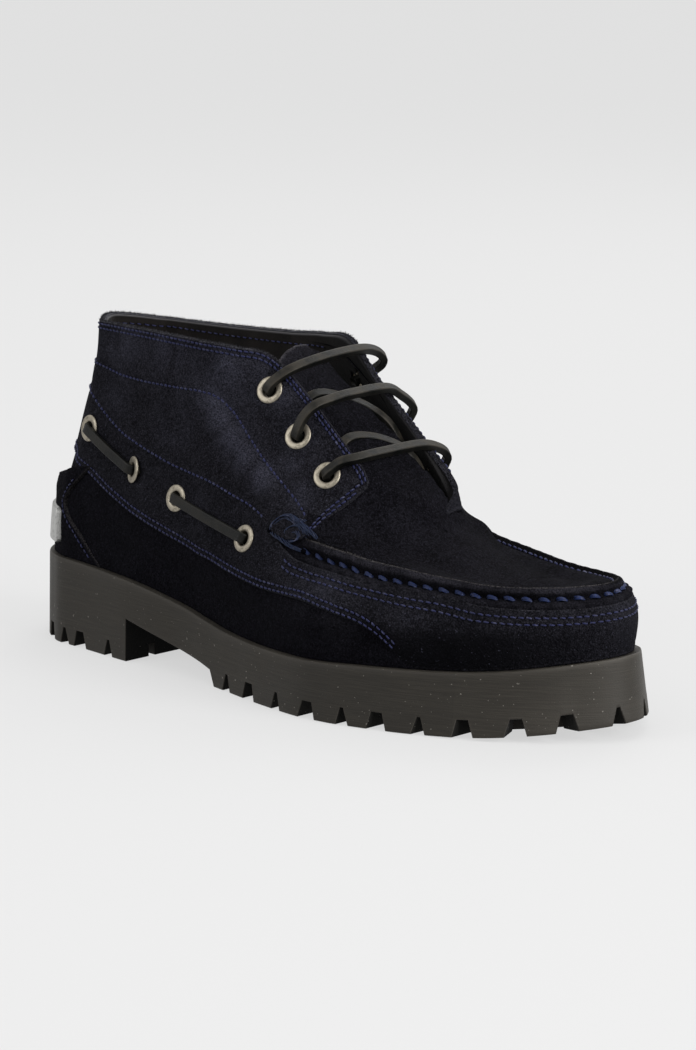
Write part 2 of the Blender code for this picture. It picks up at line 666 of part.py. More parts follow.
def overlay_piece(name, table, points, stand, thickness, material, collection, dip=0.0):
    """A solid that follows the upper's surface, from a table of levels and half widths in stations."""
    table = np.array(table)
    grid = []
    for level in np.linspace(table[0, 0], table[-1, 0], points[1]):
        share = np.linspace(-1.0, 1.0, points[0])
        at = share * np.interp(level, table[:, 0], table[:, 1])
        grown = max(level - COUNTER_DIP_START, 0.0) / (table[-1, 0] - COUNTER_DIP_START)
        level = level - dip * grown * (1.0 - share ** 2)
        grid.append(upper_point(at, level) + upper_normal(at, level) * (stand + thickness) * MM)
    piece = grid_object(name, np.array(grid), material, collection)
    add_solidify(piece, thickness * MM)
    piece.data.shade_smooth()


def make_counter(material, collection):
    """The heel counter: a proud piece between two larger forms of the upper, narrow at its waist."""
    overlay_piece("heel_counter", COUNTER, COUNTER_POINTS, COUNTER_STAND, COUNTER_THICKNESS,
                  material, collection, COUNTER_DIP)


def make_heel_plate(material, collection):
    """A small plain metal plate on the back of the heel counter."""
    table = [(level, PLATE_STATIONS) for level in PLATE_LEVELS]
    stand = COUNTER_STAND + COUNTER_THICKNESS + GAP
    overlay_piece("heel_plate", table, PLATE_POINTS, stand, PLATE_THICKNESS, material, collection)


# --- Eyelets and laces ----------------------------------------------------------------------------
def make_eyelets(frames, material, collection):
    """Every eyelet, a turned ring standing on the upper: a flange on it and a barrel through it."""
    mesh = bpy.data.meshes.new("eyelet")
    points = [(radius * MM, 0.0, height * MM) for radius, height in EYELET_PROFILE]
    edges = [(i, (i + 1) % len(points)) for i in range(len(points))]
    mesh.from_pydata(points, edges, [])
    mesh.materials.append(material)
    for name, (place, axis) in frames.items():
        eyelet = bpy.data.objects.new(name, mesh)
        eyelet.location = place + axis * EYELET_STAND * MM
        eyelet.rotation_mode = "QUATERNION"
        eyelet.rotation_quaternion = axis.to_track_quat("Z", "Y")
        collection.objects.link(eyelet)
        turned = eyelet.modifiers.new("Turned", "SCREW")
        turned.axis = "Z"
        turned.steps = EYELET_SIDES
        turned.render_steps = EYELET_SIDES
        turned.use_merge_vertices = True
        turned.merge_threshold = WELD
        turned.use_smooth_shade = True


def smooth_route(points, step):
    """Even points on a smooth curve through a route's own points."""
    points = np.array([list(point) for point in points])
    padded = np.vstack([2 * points[0] - points[1], points, 2 * points[-1] - points[-2]])
    fine = []
    for i in range(1, len(padded) - 2):
        for part in np.linspace(0, 1, ROUTE_FINENESS, endpoint=False):
            p0, p1, p2, p3 = padded[i - 1:i + 3]
            fine.append(0.5 * (2 * p1 + (p2 - p0) * part + (2 * p0 - 5 * p1 + 4 * p2 - p3) * part ** 2
                               + (3 * p1 - p0 - 3 * p2 + p3) * part ** 3))
    fine.append(padded[-2])
    fine = np.array(fine)
    length = np.concatenate([[0], np.cumsum(np.linalg.norm(np.diff(fine, axis=0), axis=1))])
    count = int(length[-1] / (step * MM)) + 1
    even = np.linspace(0, length[-1], count)
    return np.stack([np.interp(even, length, fine[:, i]) for i in range(3)], -1)


def tube(name, points, material, collection):
    """A round cord along points."""
    curve = bpy.data.curves.new(name, "CURVE")
    curve.dimensions = "3D"
    curve.bevel_depth = LACE_RADIUS * MM
    curve.bevel_resolution = 2
    curve.use_fill_caps = True
    spline = curve.splines.new("POLY")
    spline.points.add(len(points) - 1)
    for point, place in zip(spline.points, points):
        point.co = (*place, 1.0)
    curve.materials.append(material)
    cord = bpy.data.objects.new(name, curve)
    collection.objects.link(cord)


def through_eyelet(frame):
    """A lace's way out through an eyelet: from inside it to above it."""
    place, axis = frame
    return [place - axis * LACE_DEPTH * MM, place, place + axis * LACE_STRAIGHT * MM]


def in_metres(points):
    """A route's (x, y, z) table as vectors."""
    return [Vector(point) * MM for point in points]


def hidden_points(places):
    """A route's (station, level) places, under the upper's wall."""
    return [Vector(inside_point(np.array([station]), np.array([level]), LACE_DEPTH)[0])
            for station, level in places]


def lace_route(frames):
    """The lace's own points: from the lowest outer eyelet, over and under, to the top inner one."""
    route = []
    for number in (3, 2, 1):
        route += through_eyelet(frames[f"throat_eyelet_lateral_{number}"])
        route += in_metres(BARS[number - 1])
        route += through_eyelet(frames[f"throat_eyelet_medial_{number}"])[::-1]
        if number in DIAGONALS:
            start, across, end = DIAGONALS[number]
            route += hidden_points(start) + in_metres(across) + hidden_points(end)
    return route


def side_lace_route(start, end, inner):
    """A side lace from one eyelet to the next along the upper. start and end are table rows."""
    def surface(row):
        return place_and_axis(ROUND - row[0] if inner else row[0], row[1])

    def above(row, stand):
        place, axis = surface(row)
        return place + axis * stand * MM

    route = [above(start, -LACE_DEPTH), above(start, 0.0), above(start, SIDE_LACE_STRAIGHT)]
    for share in SIDE_LACE_SHARES:
        row = [low + (high - low) * share for low, high in zip(start, end)]
        route.append(above(row, SIDE_LACE_STAND))
    route += [above(end, SIDE_LACE_STRAIGHT), above(end, 0.0), above(end, -LACE_DEPTH)]
    return route


def make_laces(frames, material, collection):
    """The throat lace and the four visible stretches of side lace."""
    tube("lace", smooth_route(lace_route(frames), LACE_STEP), material, collection)
    for inner, label in ((False, "lateral"), (True, "medial")):
        for number, (start, end) in enumerate(((0, 1), (2, 3)), 1):
            route = side_lace_route(SIDE_EYELETS[start], SIDE_EYELETS[end], inner)
            tube(f"side_lace_{label}_{number}", smooth_route(route, SIDE_LACE_STEP), material,
                 collection)


def build():
    """The whole boot."""
    clear_scene()
    collection = new_collection("boat_boot")
    cutters = new_collection("cutters")
    slots = {name: new_material(name) for name in MATERIALS}
    frames = eyelet_frames()
    make_outsole(slots["rubber"], collection, cutters)
    make_upper(frames, slots["suede"], collection, cutters)
    make_insole(slots["lining"], collection)
    make_tongue(slots["suede"], collection)
    make_counter(slots["suede"], collection)
    make_heel_plate(slots["metal"], collection)
    make_eyelets(frames, slots["metal"], collection)
    make_laces(frames, slots["lace_leather"], collection)


build()
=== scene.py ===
"""Looks of the boat boot, a right boot in navy suede on a lugged rubber sole.

Every panel is made on the boot's own surface: a station runs round the boot from the back of the
heel (0), over the outer side to the toe (16), and back over the inner side (32). A level runs from
the sole (0) to the collar, the eyestay's front edge or the ridge over the toes (1). Sizes are in
millimetres where a name doesn't say otherwise.
"""
import math

import bmesh
import bpy
import numpy as np
from mathutils import Matrix, Vector


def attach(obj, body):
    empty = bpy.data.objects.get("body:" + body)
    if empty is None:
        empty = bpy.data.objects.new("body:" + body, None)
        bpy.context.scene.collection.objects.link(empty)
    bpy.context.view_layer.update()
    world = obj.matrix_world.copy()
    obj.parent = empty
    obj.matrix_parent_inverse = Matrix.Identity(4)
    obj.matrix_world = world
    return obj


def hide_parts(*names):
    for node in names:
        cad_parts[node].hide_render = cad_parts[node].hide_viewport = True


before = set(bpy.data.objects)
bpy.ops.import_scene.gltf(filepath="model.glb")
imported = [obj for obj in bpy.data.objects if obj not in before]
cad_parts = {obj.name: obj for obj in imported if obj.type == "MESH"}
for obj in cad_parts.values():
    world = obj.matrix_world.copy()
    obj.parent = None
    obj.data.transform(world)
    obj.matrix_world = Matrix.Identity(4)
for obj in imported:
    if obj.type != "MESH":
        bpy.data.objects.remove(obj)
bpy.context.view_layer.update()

MM = 0.001

# --- The last -------------------------------------------------------------------------------------
# Driving dimensions (metres)
LENGTH = 0.297
BALL_WIDTH = 0.106
COLLAR_HEIGHT = 0.1305

# The sizes that the tables are drawn for (millimetres)
DRAWN_LENGTH = 297.0
DRAWN_BALL_WIDTH = 106.0
DRAWN_COLLAR_HEIGHT = 130.5

# Sections of the boot, from the back of the heel to the tip of the toe. Each is a rib that leaves
# the centre line at x, turned by angle from straight ahead. sole_lat and sole_med are the distances
# from the centre line to the edge of the sole on the outer and the inner side, at the floor. flare
# is how much narrower the sole is at its rim, rim_z. lean moves the top of the rib forward.
PLAN_COLUMNS = ("x", "angle", "lean", "rim_z", "sole_lat", "sole_med", "flare")
PLAN = {
    "heel_back": (0, 180, 10, 34.6, 36.0, 36.0, 0.6),
    "heel_150": (0, 150, 10, 34.6, 34.0, 34.2, 0.6),
    "heel_120": (0, 120, 10, 34.6, 32.6, 33.0, 0.6),
    "heel_side": (0, 90, 9, 34.4, 32.8, 32.8, 0.6),
    "breast": (36, 90, 4, 32.3, 37.9, 33.4, 0.8),
    "waist": (67, 90, 2, 27.6, 40.3, 34.0, 1.0),
    "shank": (84, 90, 1, 24.2, 43.1, 35.0, 1.2),
    "instep": (100, 90, 0, 22.0, 47.0, 37.5, 1.4),
    "throat": (122, 90, 0, 21.2, 52.8, 42.5, 1.5),
    "vamp": (146, 90, 0, 21.4, 57.3, 47.0, 1.6),
    "throat_end": (159, 90, 0, 21.8, 57.2, 48.2, 1.7),
    "ball": (168, 90, 0, 22.3, 56.1, 48.5, 1.8),
    "fore": (190, 90, 0, 23.0, 51.0, 46.0, 2.0),
    "toe_side": (212, 90, 0, 23.6, 43.4, 41.0, 2.4),
    "toe_60": (212, 60, 0, 24.0, 39.0, 42.0, 2.7),
    "toe_30": (212, 30, 0, 24.4, 41.2, 44.6, 3.0),
    "toe_tip": (212, 0, 0, 24.6, 48.2, 48.2, 3.0),
}

# The upper's lower half: distances from the centre line and heights at its bulge above the sole and
# at its middle, which in front is the moc seam.
LOWER_COLUMNS = ("bulge_lat", "bulge_med", "bulge_z", "mid_lat", "mid_med", "mid_z")
LOWER = {
    "heel_back": (31.5, 31.5, 54, 26.5, 26.5, 82.0),
    "heel_150": (29.6, 30.0, 54, 24.6, 25.0, 82.0),
    "heel_120": (28.8, 29.2, 54, 23.8, 24.2, 82.0),
    "heel_side": (30.4, 29.8, 54, 25.8, 25.0, 82.0),
    "breast": (36.0, 31.0, 50, 31.5, 28.0, 78.0),
    "waist": (39.0, 32.4, 46, 34.5, 29.5, 73.0),
    "shank": (42.0, 33.8, 43, 37.0, 30.8, 70.0),
    "instep": (45.8, 36.2, 40, 40.0, 32.2, 66.0),
    "throat": (51.4, 41.0, 38, 42.5, 34.5, 62.4),
    "vamp": (55.2, 45.2, 38, 40.5, 34.0, 60.8),
    "throat_end": (55.0, 46.2, 38, 40.0, 33.0, 60.2),
    "ball": (53.8, 46.4, 38, 39.0, 32.0, 59.4),
    "fore": (48.8, 43.6, 38, 35.8, 29.0, 57.8),
    "toe_side": (41.0, 38.4, 38, 30.5, 25.0, 56.4),
    "toe_60": (36.4, 38.0, 38, 28.5, 27.0, 55.2),
    "toe_30": (38.0, 39.6, 38, 29.5, 30.5, 54.8),
    "toe_tip": (42.4, 42.4, 38, 32.0, 32.0, 54.6),
}

# The upper's upper half: its high level, and its top, which is the collar, then the front edge of
# the eyestays, then the ridge over the toes.
UPPER_COLUMNS = ("high_lat", "high_med", "high_z", "top_lat", "top_med", "top_z_lat", "top_z_med")
UPPER = {
    "heel_back": (21.5, 21.5, 108, 19.0, 19.0, 130.5, 130.5),
    "heel_150": (19.8, 20.4, 108, 17.3, 18.0, 130.5, 129.5),
    "heel_120": (19.6, 20.0, 108, 17.6, 18.0, 130.5, 128.3),
    "heel_side": (22.0, 21.5, 108, 20.6, 20.0, 130.6, 127.6),
    "breast": (27.8, 25.5, 104, 25.4, 23.0, 130.6, 127.4),
    "waist": (30.2, 27.5, 101, 26.8, 24.5, 129.6, 128.0),
    "shank": (31.0, 28.0, 99, 25.4, 24.0, 128.8, 129.0),
    "instep": (31.0, 28.5, 97, 19.8, 18.8, 125.6, 128.0),
    "throat": (30.5, 28.0, 88, 19.2, 17.6, 109.5, 113.0),
    "vamp": (29.5, 26.5, 74, 19.0, 17.0, 89.0, 92.0),
    "throat_end": (26.0, 24.0, 67.5, 14.0, 15.5, 78.0, 78.0),
    "ball": (22.5, 20.0, 64.5, 0.0, 0.0, 69.0, 69.0),
    "fore": (19.0, 16.0, 61.0, 0.0, 0.0, 63.0, 63.0),
    "toe_side": (16.0, 13.5, 58.6, 0.0, 0.0, 59.6, 59.6),
    "toe_60": (15.0, 13.5, 57.8, 0.0, 0.0, 59.6, 59.6),
    "toe_30": (15.0, 14.5, 57.6, 0.0, 0.0, 59.6, 59.6),
    "toe_tip": (16.0, 16.0, 57.4, 0.0, 0.0, 59.6, 59.6),
}

STATIONS = list(PLAN)
TIP = len(STATIONS) - 1
ROUND = 2 * TIP
LEVELS = (0.0, 0.2, 0.5, 0.75, 1.0)
LEAN_SHARE = (0.0, 0.15, 0.5, 0.75, 1.0)
LEDGE = 3.2
FEATHER_GAP = 0.4
TOE_SPRING = 6.5
SPRING_START = 196.0
SPRING_END = 261.0
# Below this half width, the front edges of the upper's two sides blend into one round ridge
RIDGE_BLEND = 12.0
NORMAL_STEP = 0.01
TINY = 1e-12
# From this station on, the two sides meet in one ridge, and normals are taken just below it
RIDGE_START = 11.0
NEAR_TOP = 0.985
UP = np.array([0.0, 0.0, 1.0])


def unit(vectors):
    """The vectors, made 1 long."""
    return vectors / np.maximum(np.linalg.norm(vectors, axis=-1, keepdims=True), TINY)


def measured(points, axis=0):
    """Distance in metres along lines of points."""
    steps = np.linalg.norm(np.diff(points, axis=axis), axis=-1)
    return np.concatenate([np.zeros_like(steps.take([0], axis)), np.cumsum(steps, axis)], axis)


def smooth_step(value, low, high):
    """0 below low, 1 above high, smooth between."""
    share = np.clip((value - low) / (high - low), 0.0, 1.0)
    return share * share * (3.0 - 2.0 * share)


def bell(distance, width):
    """1 where distance is 0, falling off on both sides over width."""
    return np.exp(-(distance / width) ** 2)


def evened(values, reach):
    """A moving average over reach neighbours on each side."""
    count = 2 * reach + 1
    return np.convolve(np.pad(values, reach, "edge"), np.ones(count) / count, "valid")


def from_heel(at):
    """How many stations at is away from the back of the heel, on either side."""
    return np.abs((at + TIP) % ROUND - TIP)


def around(table, columns, lat, med=None):
    """One column as a list all round the boot: outer side from heel to toe, inner side back."""
    outer = [table[name][columns.index(lat)] for name in STATIONS]
    inner = [table[name][columns.index(med or lat)] for name in STATIONS]
    return np.array(outer + inner[-2:0:-1], float)


def station_angles():
    """The rib angles all round the boot, from -180 at the back of the heel through 0 at the toe."""
    outer = [-PLAN[name][PLAN_COLUMNS.index("angle")] for name in STATIONS]
    return np.array(outer + [-angle for angle in outer[-2:0:-1]], float)


def smooth_round(values, at, turn=0.0):
    """A smooth closed curve through values at whole numbers. turn is what one lap adds."""
    at = np.asarray(at, float)
    first = np.floor(at).astype(int)
    part = at - first
    count = len(values)

    def value(index):
        return values[index % count] + turn * (index // count)

    before, start, end, after = (value(first + step) for step in (-1, 0, 1, 2))
    start_slope = (end - before) / 2
    end_slope = (after - start) / 2
    return ((2 * part ** 3 - 3 * part ** 2 + 1) * start
            + (part ** 3 - 2 * part ** 2 + part) * start_slope
            + (3 * part ** 2 - 2 * part ** 3) * end + (part ** 3 - part ** 2) * end_slope)


def smooth_levels(values, level, flatten=0.0):
    """A smooth curve through the values at the five levels. flatten levels out its upper end."""
    knots = np.array(LEVELS)
    level = np.clip(level, 0.0, 1.0)
    step = np.diff(knots)
    rise = [(values[i + 1] - values[i]) / step[i] for i in range(4)]
    slopes = [rise[0]]
    for i in range(3):
        slopes.append((step[i + 1] * rise[i] + step[i] * rise[i + 1]) / (step[i] + step[i + 1]))
    slopes.append(rise[3] * (1.0 - flatten))
    result = np.zeros(np.broadcast(level, values[0]).shape)
    for i in range(4):
        part = (level - knots[i]) / step[i]
        inside = (part >= 0) & (part <= 1)
        curve = ((2 * part ** 3 - 3 * part ** 2 + 1) * values[i]
                 + (part ** 3 - 2 * part ** 2 + part) * step[i] * slopes[i]
                 + (3 * part ** 2 - 2 * part ** 3) * values[i + 1]
                 + (part ** 3 - part ** 2) * step[i] * slopes[i + 1])
        result = np.where(inside, curve, result)
    return result


def to_metres(x, y, z):
    """Points in the tables' millimetres, scaled to the driving dimensions."""
    return np.stack([np.asarray(x, float) * LENGTH / DRAWN_LENGTH,
                     np.asarray(y, float) * BALL_WIDTH / DRAWN_BALL_WIDTH,
                     np.asarray(z, float) * COLLAR_HEIGHT / DRAWN_COLLAR_HEIGHT], -1)


def spring(x):
    """How far the toe spring lifts the sole at x, in the tables' millimetres."""
    share = np.clip((x - SPRING_START) / (SPRING_END - SPRING_START), 0.0, None)
    return TOE_SPRING * share ** 2


def rib_x(at):
    """Where the rib leaves the centre line. The ribs round the toe all leave the same point."""
    return np.minimum(smooth_round(around(PLAN, PLAN_COLUMNS, "x"), at), PLAN["toe_tip"][0])


def sole_ring(at, inset=0.0):
    """Plan position of the sole's edge at the floor, moved in by inset."""
    x = rib_x(at)
    angle = np.radians(smooth_round(station_angles(), at, 360.0))
    radius = smooth_round(around(PLAN, PLAN_COLUMNS, "sole_lat", "sole_med"), at) - inset
    return x + radius * np.cos(angle), radius * np.sin(angle)


def rim_height(at):
    """Height of the sole's rim without the toe spring."""
    return smooth_round(around(PLAN, PLAN_COLUMNS, "rim_z"), at)


def flare(at):
    """How much the rim is inside the edge at the floor."""
    return smooth_round(around(PLAN, PLAN_COLUMNS, "flare"), at)


def upper_point(at, level):
    """The upper's outer surface: at goes round the boot by station, level from sole to top."""
    x = rib_x(at)
    angle = np.radians(smooth_round(station_angles(), at, 360.0))
    lean = smooth_round(around(PLAN, PLAN_COLUMNS, "lean"), at)
    sole = smooth_round(around(PLAN, PLAN_COLUMNS, "sole_lat", "sole_med"), at)
    radii = [sole - flare(at) - LEDGE]
    heights = [rim_height(at) + FEATHER_GAP]
    for table, columns, name in ((LOWER, LOWER_COLUMNS, "bulge"), (LOWER, LOWER_COLUMNS, "mid"),
                                 (UPPER, UPPER_COLUMNS, "high")):
        radii.append(smooth_round(around(table, columns, name + "_lat", name + "_med"), at))
        heights.append(smooth_round(around(table, columns, name + "_z"), at))
    top = smooth_round(around(UPPER, UPPER_COLUMNS, "top_lat", "top_med"), at)
    radii.append(np.maximum(top, 0.0))
    heights.append(smooth_round(around(UPPER, UPPER_COLUMNS, "top_z_lat", "top_z_med"), at))
    radius = smooth_levels(radii, level)
    height = smooth_levels(heights, level, np.clip(1.0 - radii[-1] / RIDGE_BLEND, 0.0, 1.0))
    forward = lean * smooth_levels([np.full(np.shape(at), share) for share in LEAN_SHARE], level)
    plan_x = x + forward + radius * np.cos(angle)
    return to_metres(plan_x, radius * np.sin(angle), height + spring(plan_x))


def upper_normal(at, level):
    """The outward unit normal of the upper's surface."""
    low = np.clip(np.asarray(level, float) - NORMAL_STEP, 0.0, 1.0)
    high = np.clip(np.asarray(level, float) + NORMAL_STEP, 0.0, 1.0)
    ahead = upper_point(np.asarray(at) + NORMAL_STEP, level)
    behind = upper_point(np.asarray(at) - NORMAL_STEP, level)
    normal = np.cross(ahead - behind, upper_point(at, high) - upper_point(at, low))
    return unit(normal)


# --- Seams, as (station, level) on the outer side -------------------------------------------------
# Top of the lace band, from the back of the heel to the moc knot
BAND_TOP = ((0.0, 0.70), (1.6, 0.70), (2.78, 0.688), (3.09, 0.656), (3.64, 0.597), (4.16, 0.576),
            (4.63, 0.565), (5.35, 0.569), (6.54, 0.571), (7.29, 0.572), (7.66, 0.560),
            (7.95, 0.520), (8.20, 0.474), (8.53, 0.429), (8.99, 0.409), (10.04, 0.397),
            (11.32, 0.390), (11.90, 0.386), (12.57, 0.380), (13.25, 0.354), (14.14, 0.330),
            (14.89, 0.312), (15.45, 0.302), (16.0, 0.299))
# Bottom of the lace band and of the toe's wall
BAND_BOTTOM = ((0.0, 0.445), (1.0, 0.442), (1.73, 0.435), (3.09, 0.380), (3.55, 0.333),
               (3.94, 0.303), (4.34, 0.284), (4.82, 0.270), (5.69, 0.261), (6.68, 0.274),
               (7.64, 0.275), (8.40, 0.272), (8.98, 0.267), (9.34, 0.259), (9.72, 0.249),
               (10.36, 0.238), (10.90, 0.229), (11.20, 0.216), (11.42, 0.198), (11.62, 0.168),
               (11.78, 0.129), (11.91, 0.088), (12.02, 0.048), (12.12, 0.008), (12.3, 0.002),
               (16.0, 0.002))
# The stitched line under the collar and the eyestay
FACING_EDGE = ((0.0, 0.800), (2.78, 0.805), (3.45, 0.796), (4.20, 0.815), (4.96, 0.833),
               (5.41, 0.835), (5.81, 0.825), (6.27, 0.797), (6.87, 0.742), (7.41, 0.700),
               (7.92, 0.667), (8.23, 0.645), (8.44, 0.618), (8.62, 0.560))
# Lower edge of the quarter, under the lace band and round to the tab's foot
QUARTER_EDGE = ((0.0, 0.680), (1.6, 0.680), (2.78, 0.668), (3.09, 0.636), (3.64, 0.577),
                (4.16, 0.556), (4.63, 0.545), (5.35, 0.549), (6.54, 0.551), (7.29, 0.552),
                (7.66, 0.540), (7.95, 0.515), (8.25, 0.500), (8.50, 0.515), (8.66, 0.560))
# The quarter's top edge: the collar, the throat's edge and the tab's corner
FACING_TOP = ((0.0, 1.0), (6.99, 1.0), (7.82, 1.0), (8.40, 0.999), (8.82, 0.997), (9.05, 0.988),
              (9.20, 0.965), (9.25, 0.930))
# The same on the inner side, whose tab is longer
FAR_TOP = ((0.0, 1.0), (6.99, 1.0), (8.4, 1.0), (9.1, 1.0), (9.6, 0.999), (10.1, 0.995),
           (10.45, 0.985), (10.68, 0.965), (10.75, 0.93))
# The hand-sewn seam round the toe plug, and the raised lip's inner edge
MOC_SEAM = ((8.30, 0.487), (8.77, 0.468), (9.16, 0.451), (10.47, 0.439), (11.41, 0.424),
            (11.97, 0.422), (12.51, 0.415), (13.21, 0.406), (13.95, 0.399), (14.75, 0.380),
            (15.44, 0.370), (16.0, 0.366))
LIP_EDGE = ((8.30, 0.545), (8.54, 0.535), (9.11, 0.520), (11.13, 0.497), (11.64, 0.496),
            (12.33, 0.486), (13.03, 0.474), (13.98, 0.466), (14.74, 0.455), (15.53, 0.443),
            (16.0, 0.440))
# The waisted heel counter: level and half width in stations
COUNTER_EDGE = ((0.0, 3.38), (0.047, 3.22), (0.118, 2.96), (0.19, 2.50), (0.234, 2.23),
                (0.316, 2.70), (0.42, 3.10))
# Its leather runs on beyond that line by a margin, and its top edge dips by some levels
COUNTER_MARGIN = 0.10
COUNTER_DIP = 0.11


def along_table(table, at):
    """A seam's level at a station, the same on both sides of the boot."""
    return np.interp(from_heel(np.asarray(at, float)), *zip(*table))


def smooth_table(table, at, width=0.22):
    """A seam's level with its corners softened."""
    shares = np.linspace(-1.0, 1.0, 9)
    weights = 1.0 - shares ** 2
    total = sum(weight * along_table(table, at + share * width)
                for share, weight in zip(shares, weights))
    return total / weights.sum()


def surface(at, level, offset=0.0):
    """A point of the boot's surface, moved out by offset in millimetres."""
    at, level, offset = np.broadcast_arrays(np.asarray(at, float), np.asarray(level, float),
                                            np.asarray(offset, float))
    in_front = from_heel(at) > RIDGE_START
    safe = np.where(in_front, np.minimum(level, NEAR_TOP), level)
    return upper_point(at, level) + upper_normal(at, safe) * offset[..., None] * MM


# --- Soft unevenness, creases and scuffs ----------------------------------------------------------
# Points along a crease's line
CREASE_POINTS = 24
# Soft ridges and troughs: the surface's line as (station, level), half width, height
CREASES = (
    (((4.8, 0.80), (5.55, 0.77), (6.5, 0.69), (7.2, 0.65), (7.7, 0.63)), 6.0, 1.1),
    (((5.3, 0.87), (6.2, 0.80), (7.0, 0.72)), 3.0, -0.35),
    (((7.3, 0.62), (7.85, 0.65), (8.1, 0.63)), 4.0, -0.9),
    (((3.2, 0.74), (3.9, 0.69), (4.5, 0.66)), 6.0, -0.6),
    (((2.9, 0.90), (3.8, 0.92), (5.0, 0.91)), 7.0, -0.5),
    (((9.0, 0.30), (9.9, 0.34), (10.9, 0.30)), 4.5, 0.35),
    (((12.0, 0.24), (12.6, 0.14)), 5.0, -0.45),
    (((13.0, 0.26), (13.6, 0.15)), 5.0, -0.35),
    (((11.4, 0.62), (12.4, 0.66), (13.4, 0.72)), 9.0, -0.5),
    (((27.2, 0.80), (26.4, 0.77), (25.4, 0.69), (24.6, 0.65)), 6.0, 0.9),
    (((24.4, 0.63), (24.0, 0.65)), 4.0, -0.7),
    (((28.6, 0.74), (28.0, 0.68), (27.4, 0.66)), 6.0, -0.5),
    (((20.6, 0.62), (19.6, 0.66), (18.6, 0.72)), 9.0, -0.5),
    (((20.0, 0.24), (19.4, 0.14)), 5.0, -0.4),
    (((30.4, 0.86), (0.0, 0.90), (1.6, 0.86)), 6.0, -0.4),
    (((5.0, 0.12), (6.4, 0.16), (7.8, 0.12)), 7.0, -0.4),
)
# Rubbed places: station, level, radius, strength
SCUFFS = ((5.78, 0.93, 6.5, 0.85), (5.55, 0.82, 7.0, 0.42), (5.2, 0.80, 8.0, 0.22),
          (5.85, 0.77, 7.0, 0.48), (6.4, 0.71, 7.5, 0.60), (6.9, 0.68, 6.5, 0.48),
          (7.4, 0.655, 6.5, 0.50), (8.26, 0.66, 5.5, 0.35), (7.9, 0.74, 5.0, 0.16),
          (4.5, 0.64, 9.0, 0.16), (3.46, 0.72, 9.0, 0.16), (4.6, 0.72, 12.0, 0.20),
          (3.5, 0.95, 10.0, 0.20), (4.4, 0.97, 9.0, 0.25), (7.4, 0.93, 7.0, 0.22),
          (7.9, 0.88, 7.0, 0.20), (10.9, 0.28, 11.0, 0.30), (12.2, 0.23, 10.0, 0.50),
          (9.9, 0.33, 8.0, 0.28), (9.0, 0.29, 8.0, 0.25), (14.4, 0.20, 14.0, 0.30),
          (16.0, 0.16, 14.0, 0.30), (8.1, 0.41, 6.0, 0.20), (15.0, 0.36, 8.0, 0.25),
          (5.4, 0.45, 9.0, 0.14), (8.7, 0.30, 7.0, 0.25), (26.2, 0.90, 11.0, 0.50),
          (25.4, 0.72, 11.0, 0.50), (28.4, 0.72, 10.0, 0.30), (21.1, 0.28, 12.0, 0.35),
          (19.5, 0.25, 10.0, 0.30), (0.0, 0.90, 14.0, 0.20), (29.5, 0.95, 12.0, 0.20))


def waves(points):
    """The leather's slow unevenness, about -1 to 1, from a few fixed waves."""
    x, y, z = (points[..., i] / MM for i in range(3))
    return (np.sin(x / 11.0 + np.sin(z / 13.0) * 1.3) * np.sin(z / 9.0 + y / 15.0 + 1.0) * 0.5
            + np.sin(x / 6.1 + z / 5.3 + 2.0) * np.sin(y / 7.7 - z / 8.1) * 0.3
            + np.sin(x / 3.3 - z / 3.9 + y / 4.7) * 0.12)


def line_distance(points, line):
    """Distance in millimetres from points to a polyline."""
    flat = points.reshape(-1, 3)
    best = np.full(len(flat), np.inf)
    for start, end in zip(line[:-1], line[1:]):
        run = end - start
        share = np.clip((flat - start) @ run / max(run @ run, TINY), 0.0, 1.0)
        best = np.minimum(best, np.linalg.norm(flat - start - share[:, None] * run, axis=1))
    return best.reshape(points.shape[:-1]) / MM


def surface_line(path):
    """A smooth line on the surface through a few (station, level) places."""
    path = np.array(path, float)
    if np.abs(np.diff(path[:, 0])).max() > TIP:
        path[:, 0] = np.where(path[:, 0] > TIP, path[:, 0] - ROUND, path[:, 0])
    share = np.linspace(0, len(path) - 1, CREASE_POINTS)
    index = np.arange(len(path))
    return surface(np.interp(share, index, path[:, 0]), np.interp(share, index, path[:, 1]))


CREASE_LINES = [(surface_line(path), width, height) for path, width, height in CREASES]
SCUFF_PLACES = [(surface(at, level), radius, strength) for at, level, radius, strength in SCUFFS]


def relief(points):
    """How far the leather stands out at points, in millimetres."""
    rise = 0.22 * waves(points)
    for line, width, height in CREASE_LINES:
        rise = rise + height * bell(line_distance(points, line), width)
    return rise


def scuffed(points):
    """How rubbed the leather is at points, 0 to 1."""
    worn = np.zeros(points.shape[:-1])
    for place, radius, strength in SCUFF_PLACES:
        distance = np.linalg.norm(points - place, axis=-1) / MM
        worn = np.maximum(worn, strength * bell(distance, radius))
    return worn


